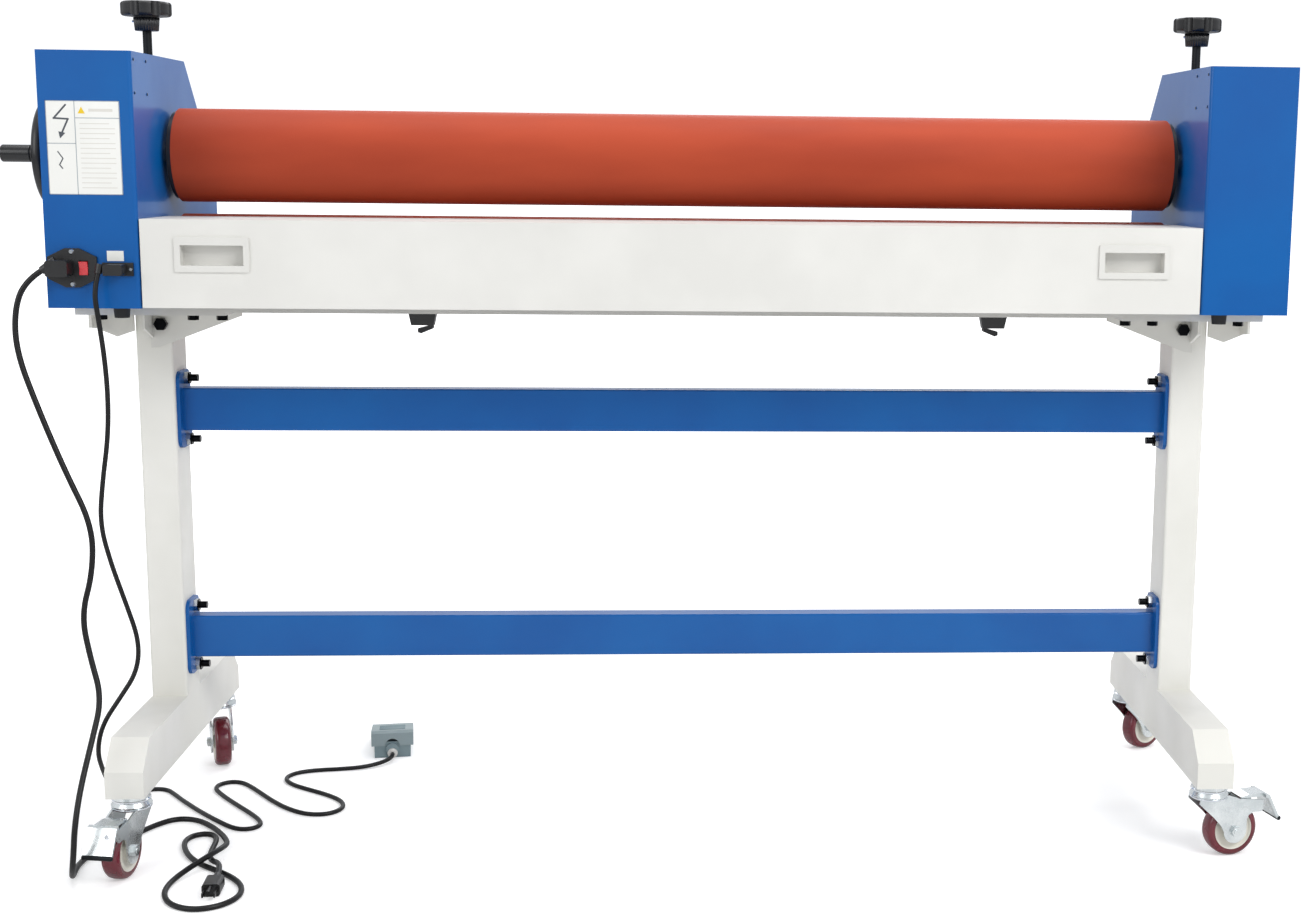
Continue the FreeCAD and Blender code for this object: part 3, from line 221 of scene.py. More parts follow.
def parted(base: Finish, name: str, hex_code: str, tests: tuple) -> bpy.types.Material:
    """Copy a finish and give it another colour wherever a point passes one of the tests.

    Args:
        base: the finish to start from.
        name: name of the new material.
        hex_code: sRGB hex colour of the other part.
        tests: (axis number, centre, limit, sign) in metres; a point passes where
            sign * (|value - centre| - limit) is above zero.

    Returns:
        The material.
    """
    found = bpy.data.materials.get(name)
    if found is not None:
        return found
    material = base.make().copy()
    material.name = name
    tree = material.node_tree
    bsdf = tree.nodes["Principled BSDF"]
    first = bsdf.inputs["Base Color"].links[0].from_socket
    parts = put(tree, "SeparateXYZ", None, Vector=put(tree, "TexCoord").outputs["Object"])
    mask = None
    for axis, centre, limit, sign in tests:
        away = put(tree, "Math", {"operation": "SUBTRACT"}, i0=parts.outputs[axis], i1=centre)
        size = put(tree, "Math", {"operation": "ABSOLUTE"}, i0=away.outputs[0])
        over = put(tree, "Math", {"operation": "GREATER_THAN" if sign > 0 else "LESS_THAN"}, i0=size.outputs[0],
                   i1=limit)
        mask = over.outputs[0] if mask is None else put(tree, "Math", {"operation": "MAXIMUM"}, i0=mask,
                                                        i1=over.outputs[0]).outputs[0]
    mixed = put(tree, "Mix", {"data_type": "RGBA"}, Factor=mask, i6=first, i7=linear(hex_code))
    tree.links.new(mixed.outputs[2], bsdf.inputs["Base Color"])
    return material


# Powder coat on sheet steel: deep even blue, a soft sheen and a faint orange peel.
BLUE = Finish("blue_powder_coat", "#0059a0", "#005097", 0.42, 0.05, grain_mm=1.1, grain_depth_mm=0.05, wave_mm=60,
              wave_depth_mm=0.02, speckle=0.25, specular=0.15, coat=0.4)
# Powder coat on the welded legs: warm white, with highlights that spread wide.
WHITE = Finish("white_powder_coat", "#e2e1db", "#dbdad3", 0.4, 0.05, grain_mm=0.9, grain_depth_mm=0.02,
               wave_depth_mm=0.02, speckle=0.1)
# Stoved enamel on the feed table: smoother and a little glossier than the legs.
TABLE_WHITE = Finish("white_enamel", "#dfded9", "#d8d7d2", 0.34, 0.05, grain_mm=0.8, grain_depth_mm=0.012,
                     wave_depth_mm=0.02, speckle=0.08)
# Sprayed paint on rails and brackets: a shade greyer and flatter than the enamel.
PALE_GREY = Finish("pale_grey_paint", "#d8d7d1", "#cfcec8", 0.4, 0.06, grain_mm=0.8, grain_depth_mm=0.02)
# Ground silicone rubber: matt red-brown, with faint grinding lines drawn out along the roller.
RED_RUBBER = Finish("red_brown_rubber", "#9c3a22", "#ab4429", 0.62, 0.06, grain_mm=0.35, grain_depth_mm=0.02,
                    wave_mm=30, wave_depth_mm=0.02, stretch=(0.25, 1.0, 1.0), speckle=0.25, specular=0.2)
# Moulded rubber feet: near black, with almost no highlight.
BLACK_RUBBER = Finish("black_rubber", "#161616", "#1f1f1f", 0.68, 0.07, grain_mm=0.5, grain_depth_mm=0.03)
# Spark-textured ABS: black, with a fine grain that breaks up the highlight.
BLACK_PLASTIC = Finish("black_moulded_plastic", "#0a0a0b", "#111113", 0.38, 0.08, grain_mm=0.35,
                       grain_depth_mm=0.025)
# Phenolic and nylon: black and smoother, with a brighter, narrower highlight.
SATIN_BLACK = Finish("satin_black_plastic", "#0e0f11", "#15161a", 0.3, 0.08, grain_mm=0.6, grain_depth_mm=0.012)
# Moulded ABS pulls: white, clean and satin.
WHITE_PLASTIC = Finish("white_moulded_plastic", "#dbdad5", "#d4d3ce", 0.36, 0.05, grain_mm=0.4,
                       grain_depth_mm=0.015, speckle=0.08)
# Turned and drawn steel: bright metal, with fine marks drawn out across the machine.
BRIGHT_STEEL = Finish("bright_steel", "#c9ccd0", "#b4b8bd", 0.26, 0.08, 1.0, grain_mm=0.3, grain_depth_mm=0.008,
                      stretch=(0.15, 1.0, 1.0), speckle=0.3)
# Phosphated and oiled steel: dark grey metal with a dull glint.
DARK_STEEL = Finish("phosphated_steel", "#222427", "#191b1d", 0.45, 0.1, 0.8, grain_mm=0.4, grain_depth_mm=0.02)
# Bright zinc plate on pressings: pale cool metal, slightly mottled and rippled.
ZINC = Finish("zinc_plated_steel", "#dfe3e3", "#c3c9ca", 0.27, 0.1, 1.0, grain_mm=2.5, grain_depth_mm=0.03,
              wave_mm=12, wave_depth_mm=0.08, speckle=0.4)
# Chrome plate on small heads: a near mirror.
CHROME = Finish("chrome", "#dfe2e6", "#cfd3d8", 0.12, 0.04, 1.0, grain_mm=2.0, grain_depth_mm=0.004, speckle=0.1)
# Cast polyurethane tyres: dark maroon with depth and a wet-looking highlight.
MAROON = Finish("maroon_polyurethane", "#580818", "#670c20", 0.24, 0.08, grain_mm=1.2, grain_depth_mm=0.02,
                wave_mm=9, wave_depth_mm=0.05, coat=0.3, speckle=0.25)
# Moulded nylon hubs: creamy off-white and satin.
CREAM = Finish("cream_nylon", "#e6e3d9", "#dad6ca", 0.42, 0.06, grain_mm=0.5, grain_depth_mm=0.02)
# Textured ABS base of the foot pedal: matt blue-grey.
PEDAL_GREY = Finish("blue_grey_plastic", "#84979b", "#798c91", 0.5, 0.06, grain_mm=0.7, grain_depth_mm=0.05)
# Textured ABS lid of the foot pedal: the same, a shade paler.
PEDAL_LIGHT = Finish("light_grey_plastic", "#93a2a5", "#889799", 0.5, 0.06, grain_mm=0.7, grain_depth_mm=0.05)
# Polycarbonate rocker: clear bright red with a sharp highlight.
RED_LENS = Finish("red_translucent_plastic", "#c01c24", "#d83038", 0.18, 0.04, grain_mm=0.6, grain_depth_mm=0.004,
                  coat=0.5)
# Printed vinyl film: flat white, and the inks on it keep its flat sheen.
FILM = Finish("printed_white_film", "#e9e9e5", "#e2e2dd", 0.5, 0.05, grain_mm=0.6, grain_depth_mm=0.006,
              speckle=0.05)
# Screen ink: mid grey rules and frames; the same grey is also used as painted shade in the cross recesses of the
# screw heads.
GREY_INK_AND_RECESS_SHADE = Finish("grey_ink_and_recess_shade", "#9aa3aa", "#8f989f", 0.5, 0.05, grain_mm=0.5, grain_depth_mm=0.004)
# Screen ink: dark pictograms.
FILM_DARK = Finish("printed_dark_ink", "#3a3f46", "#454a51", 0.5, 0.05, grain_mm=0.5, grain_depth_mm=0.004)
# Screen ink: pale rules that read as a grey haze from a distance.
FILM_PALE = Finish("printed_pale_ink", "#d5d2cb", "#cfccc5", 0.5, 0.05, grain_mm=0.5, grain_depth_mm=0.004)
# Screen ink: one warm yellow spot.
FILM_YELLOW = Finish("printed_yellow_ink", "#e5c21f", "#dcb81b", 0.5, 0.05, grain_mm=0.5, grain_depth_mm=0.004)
# PVC cord jacket: black, smooth, with a thin line of light along it.
CORD_BLACK = Finish("black_cord_jacket", "#050506", "#0b0b0c", 0.4, 0.08, grain_mm=0.6, grain_depth_mm=0.03,
                    specular=0.3)


# ------------------------------------------------------------------ mesh helpers
def mesh_object(name: str, vertices: np.ndarray, faces: list, finish: Finish, body: str, smooth: bool = True
                ) -> bpy.types.Object:
    """Make a mesh piece in the part's frame that rides on a body.

    Args:
        name: piece name.
        vertices: points in metres, N by 3.
        faces: tuples of vertex numbers.
        finish: its finish.
        body: CAD body it moves with.
        smooth: True for smooth shading.

    Returns:
        The linked object.
    """
    mesh = bpy.data.meshes.new(name)
    mesh.from_pydata(vertices.tolist(), [], faces)
    mesh.polygons.foreach_set("use_smooth", [smooth] * len(mesh.polygons))
    mesh.validate()
    mesh.update()
    piece = bpy.data.objects.new(name, mesh)
    bpy.context.scene.collection.objects.link(piece)
    mesh.materials.append(finish.make())
    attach(piece, body)
    LOG.info("piece %s on %s: %s", name, body, finish.name)
    return piece


def grid_faces(rows: int, columns: int, closed: bool) -> list:
    """Quads of a grid of points, wrapped round where it is closed.

    The point in row i and column j has the number i * columns + j.

    Args:
        rows: number of profile points.
        columns: number of points along the sweep.
        closed: True where the last column joins the first.

    Returns:
        Tuples of four vertex numbers.
    """
    columns_used = columns if closed else columns - 1
    i, j = np.meshgrid(np.arange(rows - 1), np.arange(columns_used), indexing="ij")
    k = (j + 1) % columns
    corners = [i * columns + j, i * columns + k, (i + 1) * columns + k, (i + 1) * columns + j]
    quads = np.stack(corners, axis=-1)
    return [tuple(q) for q in quads.reshape(-1, 4).tolist()]


def lathe_points(profile: np.ndarray, centre: Vector, axis: Vector, segments: int) -> np.ndarray:
    """Revolve a profile of (distance along the axis, radius) in millimetres about an axis.

    A point is the centre, plus its distance times the axis, plus its radius times the ring direction, which is the
    cosine of the turn times one direction across the axis and its sine times the other.

    Args:
        profile: N by 2 array.
        centre: point on the axis in metres.
        axis: unit direction.
        segments: steps round the axis.

    Returns:
        Points in metres, one row of segments for each profile point.
    """
    along = np.array(axis.normalized())
    helper = np.array([0.0, 0.0, 1.0]) if abs(along[2]) < 0.9 else np.array([1.0, 0.0, 0.0])
    side = np.cross(helper, along)
    side /= np.linalg.norm(side)
    other = np.cross(along, side)
    turn = np.linspace(0, 2 * np.pi, segments, endpoint=False)
    ring = np.cos(turn)[:, None] * side + np.sin(turn)[:, None] * other
    points = profile[:, 0, None, None] * along * MM + profile[:, 1, None, None] * ring[None] * MM
    return (points + np.array(centre)).reshape(-1, 3)


def lathe(name: str, profile: list, centre: Vector, axis: Vector, finish: Finish, body: str, segments: int = 64
          ) -> bpy.types.Object:
    """Make a turned piece; a profile that starts and ends on the axis makes a disc, any other a ring.

    Args:
        name: piece name.
        profile: list of (distance along the axis, radius) in millimetres.
        centre: point on the axis in metres.
        axis: direction.
        finish: its finish.
        body: CAD body it moves with.
        segments: steps round the axis.

    Returns:
        The piece.
    """
    rows = np.array(profile, dtype=float)
    ring = rows[0, 1] > 1.0 and rows[-1, 1] > 1.0
    rows[:, 1] = np.maximum(rows[:, 1], 0.01)
    points = lathe_points(rows, centre, axis, segments)
    faces = grid_faces(len(rows), segments, True)
    if ring:
        last = (len(rows) - 1) * segments
        faces += [(last + i, last + (i + 1) % segments, (i + 1) % segments, i) for i in range(segments)]
    else:
        faces.append(tuple(range(segments)))
        faces.append(tuple(range((len(rows) - 1) * segments, len(rows) * segments))[::-1])
    piece = mesh_object(name, points, faces, finish, body)
    soften(piece, 0.25, 35)
    return piece


def outline_plate(name: str, outline: list, y: float, thick: float, finish: Finish) -> bpy.types.Object:
    """Make a thin plate on the frame that faces the operator, from an outline in X and Z.

    Each corner gives a back point at y and a front point at y less the thickness.

    Args:
        name: piece name.
        outline: machine (x, z) corners in millimetres.
        y: machine y of its back face.
        thick: thickness in millimetres.
        finish: its finish.

    Returns:
        The piece.
    """
    count = len(outline)
    corners = np.array(outline, dtype=float)
    back = np.column_stack([corners[:, 0], np.full(count, y), corners[:, 1]])
    front = back - np.array([0.0, thick, 0.0])
    points = np.vstack([back, front]) * MM + PLACE.shift()
    faces = [tuple(range(count)), tuple(range(count, 2 * count))[::-1]]
    faces += [(i, (i + 1) % count, count + (i + 1) % count, count + i) for i in range(count)]
    return mesh_object(name, points, faces, finish, "frame", smooth=False)


def stroke(name: str, line: list, width: float, y: float, thick: float, finish: Finish) -> None:
    """Draw a bent line on a front face as one thin plate for each straight run.

    A run's corners stand half the width to each side of it and half the width past each end.

    Args:
        name: start of the pieces' names.
        line: machine (x, z) points in millimetres.
        width: width of the line.
        y: machine y of the plates' back faces.
        thick: their thickness.
        finish: their finish.
    """
    for number, (start, end) in enumerate(zip(line, line[1:])):
        run = np.array(end) - np.array(start)
        side = np.array([-run[1], run[0]]) / np.linalg.norm(run) * width / 2
        ahead = run / np.linalg.norm(run) * width / 2
        corners = [start - side - ahead, end - side + ahead, end + side + ahead, start + side - ahead]
        outline_plate("%s_%d" % (name, number), [tuple(c) for c in corners], y, thick + 0.01 * number, finish)


def soften(piece: bpy.types.Object, width_mm: float, angle: float) -> None:
    """Round a piece's sharp edges.

    Args:
        piece: the object.
        width_mm: bevel width.
        angle: edges sharper than this many degrees are rounded.
    """
    bevel = piece.modifiers.new("rounded_edges", "BEVEL")
    bevel.width = width_mm * MM
    bevel.segments = 2
    bevel.limit_method = "ANGLE"
    bevel.angle_limit = math.radians(angle)


def dress(node: str, finish: Finish | bpy.types.Material, bevel_mm: float = 0.0, angle: float = 40
          ) -> bpy.types.Object:
    """Give a CAD node its finish and, where asked, rounded edges.

    Args:
        node: CAD node name.
        finish: its finish, or a material made beforehand.
        bevel_mm: width of the rounded edges, or 0 for none.
        angle: smallest angle that is rounded, in degrees.

    Returns:
        The node's object.
    """
    piece = frame["nodes"][node]
    material = finish.make() if isinstance(finish, Finish) else finish
    if not piece.material_slots:
        piece.data.materials.append(material)
    for slot in piece.material_slots:
        slot.material = material
    if bevel_mm > 0:
        soften(piece, bevel_mm, angle)
    LOG.info("dressed %s: %s", node, material.name)
    return piece


def fluted(name: str, centre: Vector, low: float, high: float, r_low: float, r_high: float, ribs: int,
           depth: float, finish: Finish, body: str) -> bpy.types.Object:
    """Make an upright ribbed collar whose radius swells and dips round its axis.

    The radius is the mean radius plus the depth times |cos(ribs * turn / 2)| to the power 0.7.

    Args:
        name: piece name.
        centre: point on the axis in metres.
        low, high: ends above the centre in millimetres.
        r_low, r_high: mean radius at each end in millimetres.
        ribs: number of ribs.
        depth: rib height in millimetres.
        finish: its finish.
        body: CAD body it moves with.

    Returns:
        The piece.
    """
    segments = ribs * 8
    turn = np.linspace(0, 2 * np.pi, segments, endpoint=False)
    rib = depth * np.abs(np.cos(turn * ribs / 2)) ** 0.7
    heights = np.array([low, low, low + 0.6, high - 0.6, high, high])
    radii = np.array([0.05, r_low - 0.8, r_low, r_high, r_high - 0.8, 0.05])
    share = np.array([0.0, 1.0, 1.0, 1.0, 1.0, 0.0])
    radius = radii[:, None] + share[:, None] * rib[None]
    levels = np.repeat(heights[:, None], segments, 1)
    points = np.stack([radius * np.cos(turn), radius * np.sin(turn), levels], -1)
    faces = grid_faces(len(heights), segments, True)
    return mesh_object(name, points.reshape(-1, 3) * MM + np.array(centre), faces, finish, body)


# ------------------------------------------------------------------ camera, light and floor
@dataclass(frozen=True)
class Lamp:
    """A soft rectangular light.

    Attributes:
        name: light name.
        place: position in metres.
        target: point it faces, in metres.
        size: width and height in metres.
        watts: power.
    """

    name: str
    place: tuple[float, float, float]
    target: tuple[float, float, float]
    size: tuple[float, float]
    watts: float

    def hang(self) -> None:
        """Add the light to the scene, turned towards its target."""
        data = bpy.data.lights.new(self.name, "AREA")
        data.shape = "RECTANGLE"
        data.size, data.size_y = self.size
        data.energy = self.watts
        lamp = bpy.data.objects.new(self.name, data)
        bpy.context.scene.collection.objects.link(lamp)
        lamp.location = self.place
        ahead = Vector(self.target) - Vector(self.place)
        lamp.rotation_euler = ahead.to_track_quat("-Z", "Y").to_euler()


@dataclass
class Studio:
    """Camera, floor and soft light.

    Attributes:
        camera_x, camera_y, camera_z: camera place in machine millimetres.
        forward: direction the camera faces.
        roll: its lean in radians.
        lens: focal length in millimetres on a 36 mm sensor.
        shift_x, shift_y: how far the frame is shifted.
        floor_half: half the floor's side in metres.
        floor_glow, floor_glow_far: the floor's own light near the machine and far from it.
        glow_near, glow_far: distances in metres between which the glow grows.
        sky_power, sky_mirrored, sky_seen: strength of the world as light, in reflections and behind the machine.
        lamps: the soft lights.
    """

    camera_x: float = 7.13
    camera_y: float = -2641.9
    camera_z: float = 935.0
    forward: tuple[float, float, float] = (0.06032, 0.98524, -0.16017)
    roll: float = 0.011
    lens: float = 51.63
    shift_x: float = -0.1118
    shift_y: float = 0.0082
    floor_half: float = 40.0
    floor_glow: float = 0.35
    floor_glow_far: float = 1.1
    glow_near: float = 1.0
    glow_far: float = 3.5
    sky_power: float = 0.5
    sky_mirrored: float = 0.95
    sky_seen: float = 1.15
    lamps: tuple[Lamp, ...] = (
        Lamp("key", (2.4, -2.6, 2.9), (0.2, 0, 0.7), (2.2, 1.6), 95),
        Lamp("fill", (-2.6, -2.4, 2.0), (-0.2, 0, 0.6), (2.0, 2.0), 34),
        Lamp("top", (0.0, 0.1, 3.2), (0, 0, 0.6), (3.0, 1.2), 48),
        Lamp("back", (0.4, 2.8, 2.4), (0, 0, 0.7), (2.6, 1.4), 30))

    def camera(self) -> None:
        """Place the camera at the reference view."""
        data = bpy.data.cameras.new("camera")
        data.lens = self.lens
        data.sensor_width = 36.0
        data.shift_x = self.shift_x
        data.shift_y = self.shift_y
        data.clip_start = 0.05
        data.clip_end = 60
        ahead = Vector(self.forward).normalized()
        right = ahead.cross(Vector((0, 0, 1))).normalized()
        up = right.cross(ahead)
        tilted = right * math.cos(self.roll) + up * math.sin(self.roll)
        lifted = up * math.cos(self.roll) - right * math.sin(self.roll)
        matrix = Matrix((tilted, lifted, -ahead)).transposed().to_4x4()
        matrix.translation = PLACE.at(self.camera_x, self.camera_y, self.camera_z)
        camera = bpy.data.objects.new("camera", data)
        bpy.context.scene.collection.objects.link(camera)
        camera.matrix_world = matrix
        bpy.context.scene.camera = camera

    def floor_paint(self) -> bpy.types.Material:
        """Make matt white floor paint, which glows a little so that it stays white and still takes soft shadows.

        Returns:
            The material.
        """
        material = bpy.data.materials.new("studio_floor")
        material.use_nodes = True
        tree = material.node_tree
        bsdf = tree.nodes["Principled BSDF"]
        bsdf.inputs["Base Color"].default_value = linear("#efefef")
        bsdf.inputs["Roughness"].default_value = 0.8
        bsdf.inputs["Specular IOR Level"].default_value = 0.0
        seen = put(tree, "LightPath").outputs["Is Camera Ray"]
        away = put(tree, "VectorMath", {"operation": "LENGTH"}, i0=put(tree, "TexCoord").outputs["Object"])
        spread = put(tree, "MapRange", None, Value=away.outputs["Value"], From_Min=self.glow_near,
                     From_Max=self.glow_far, To_Min=self.floor_glow, To_Max=self.floor_glow_far)
        glow = put(tree, "MapRange", None, Value=seen, To_Min=0.0, To_Max=spread.outputs[0])
        bsdf.inputs["Emission Color"].default_value = linear("#ffffff")
        tree.links.new(glow.outputs[0], bsdf.inputs["Emission Strength"])
        return material

    def sky(self) -> None:
        """Light the scene softly from all round, white where the camera looks past the machine."""
        world = bpy.data.worlds.new("studio_world")
        world.use_nodes = True
        tree = world.node_tree
        tree.nodes["Background"].inputs[0].default_value = linear("#f9fbff")
        path = put(tree, "LightPath")
        mirrored = put(tree, "MapRange", None, Value=path.outputs["Is Glossy Ray"], To_Min=self.sky_power,
                       To_Max=self.sky_mirrored)
        power = put(tree, "MapRange", None, Value=path.outputs["Is Camera Ray"], To_Min=mirrored.outputs[0],
                    To_Max=self.sky_seen)
        tree.links.new(power.outputs[0], tree.nodes["Background"].inputs[1])
        bpy.context.scene.world = world

    def build(self) -> None:
        """Make the camera, the floor, the world light and the lamps."""
        self.camera()
        side = self.floor_half
        scene = bpy.context.scene
        scene.view_settings.view_transform = "Standard"
        scene.view_settings.look = "None"
        mesh = bpy.data.meshes.new("studio_floor")
        corners = [(-side, -side, 0), (side, -side, 0), (side, side, 0), (-side, side, 0)]
        mesh.from_pydata(corners, [], [(0, 1, 2, 3)])
        floor = bpy.data.objects.new("studio_floor", mesh)
        bpy.context.scene.collection.objects.link(floor)
        mesh.materials.append(self.floor_paint())
        self.sky()
        for lamp in self.lamps:
            lamp.hang()


# ------------------------------------------------------------------ cords
@dataclass
class Cords:
    """The mains cord and the foot pedal's cord, with the pieces on them.

    Attributes:
        power_diameter, pedal_diameter: cord diameters in millimetres.
        power_length, pedal_length: cord lengths in metres, measured along the routes; not used.
        power_route, pedal_route: control points in machine millimetres, from the housing to the far end.
    """

    power_diameter: float = 7.5
    pedal_diameter: float = 6.5
    power_length: float = 2.08
    pedal_length: float = 2.1
    power_route: tuple = (
        (-812, -195, 791), (-833, -198, 777), (-846, -202, 741), (-845, -206, 688), (-822, -208, 618),
        (-791, -210, 535), (-759, -213, 464), (-760, -217, 403), (-776, -221, 347), (-766, -226, 292),
        (-750, -237, 240), (-758, -262, 189), (-762, -303, 140), (-764, -326, 98), (-766, -330, 62),
        (-775, -312, 30), (-790, -266, 7), (-800, -215, 4), (-795, -172, 4), (-780, -134, 4), (-756, -98, 4),
        (-740, -64, 4), (-718, -38, 4), (-688, -42, 4), (-660, -70, 4), (-637, -104, 4),
        (-621, -142, 8), (-613, -179, 16), (-625, -212, 16), (-647, -244, 9), (-662, -280, 4),
        (-660, -320, 4), (-642, -356, 4), (-610, -374, 4), (-577, -362, 4), (-560, -330, 4),
        (-566, -294, 4), (-586, -264, 4), (-612, -240, 4), (-640, -216, 4), (-662, -186, 4),
        (-677, -152, 4), (-682, -126, 4), (-675, -106, 4), (-657, -100, 4), (-643, -112, 4),
        (-638, -136, 4), (-637, -163, 4), (-633, -190, 4), (-623, -216, 8), (-610, -237, 13.5),
        (-603, -257, 13.5), (-602, -274, 11))
    pedal_route: tuple = (
        (-741, -197, 788), (-746, -202, 766), (-742, -201, 730), (-741, -187, 680), (-744, -170, 625),
        (-751, -156, 570), (-765, -142, 510), (-776, -127, 450), (-770, -108, 392), (-758, -90, 332),
        (-746, -77, 275), (-750, -80, 232), (-771, -96, 198), (-792, -108, 165), (-804, -98, 124),
        (-808, -66, 86), (-811, -26, 50), (-813, 14, 20), (-813, 50, 5), (-806, 78, 3.3),
        (-788, 95, 3.3), (-765, 92, 3.3), (-749, 71, 3.3), (-732, 46, 3.3), (-714, 22, 3.3),
        (-695, -3, 3.3), (-675, -27, 3.3), (-654, -51, 3.3), (-633, -73, 3.3), (-617, -83, 3.3),
        (-600, -80, 3.3), (-592, -65, 3.3), (-599, -45, 3.3), (-616, -19, 3.3), (-638, 10, 3.3),
        (-662, 42, 3.3), (-684, 74, 3.3), (-695, 95, 3.3), (-693, 113, 3.3), (-679, 125, 3.3),
        (-661, 121, 3.3), (-645, 103, 3.3), (-623, 72, 3.3), (-598, 36, 3.3), (-570, 2, 3.3),
        (-537, -24, 3.3), (-505, -24, 3.3), (-488, 2, 3.3), (-497, 34, 3.3), (-524, 62, 3.3),
        (-556, 86, 3.3), (-586, 110, 3.3), (-602, 139, 3.3), (-590, 165, 3.3), (-560, 177, 3.3),
        (-525, 181, 3.3), (-490, 188, 4), (-465, 203, 6), (-452, 223, 8), (-454.4, 240, 8))

    def tube(self, name: str, route: tuple, diameter: float, node: str) -> bpy.types.Object:
        """Make one cord as a single smooth curve through its route.

        Args:
            name: piece name.
            route: machine points in millimetres.
            diameter: cord diameter in millimetres.
            node: CAD node that it stands for.

        Returns:
            The curve object.
        """
        data = bpy.data.curves.new(name, "CURVE")
        data.dimensions = "3D"
        spline = data.splines.new("NURBS")
        spline.points.add(len(route) - 1)
        for point, place in zip(spline.points, route):
            point.co = (*PLACE.at(*place), 1.0)
        spline.order_u = 3
        spline.use_endpoint_u = True
        data.resolution_u = 8
        data.bevel_depth = diameter / 2 * MM
        data.bevel_resolution = 5
        piece = bpy.data.objects.new(name, data)
        bpy.context.scene.collection.objects.link(piece)
        data.materials.append(CORD_BLACK.make())
        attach(piece, "frame")
        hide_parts(node)
        LOG.info("piece %s on frame: %s", name, CORD_BLACK.name)
        return piece

    def build(self) -> None:
        """Make both cords and dress the plugs on them."""
        power = self.tube("mains_cord", self.power_route, self.power_diameter, "power_cord")
        pedal = self.tube("foot_pedal_cord", self.pedal_route, self.pedal_diameter, "pedal_cord")
        connector = dress("mains_connector", BLACK_PLASTIC, 0.8)
        plug = dress("mains_plug", BLACK_PLASTIC, 0.8)
        pedal_plug = dress("pedal_plug", BLACK_PLASTIC, 0.6)


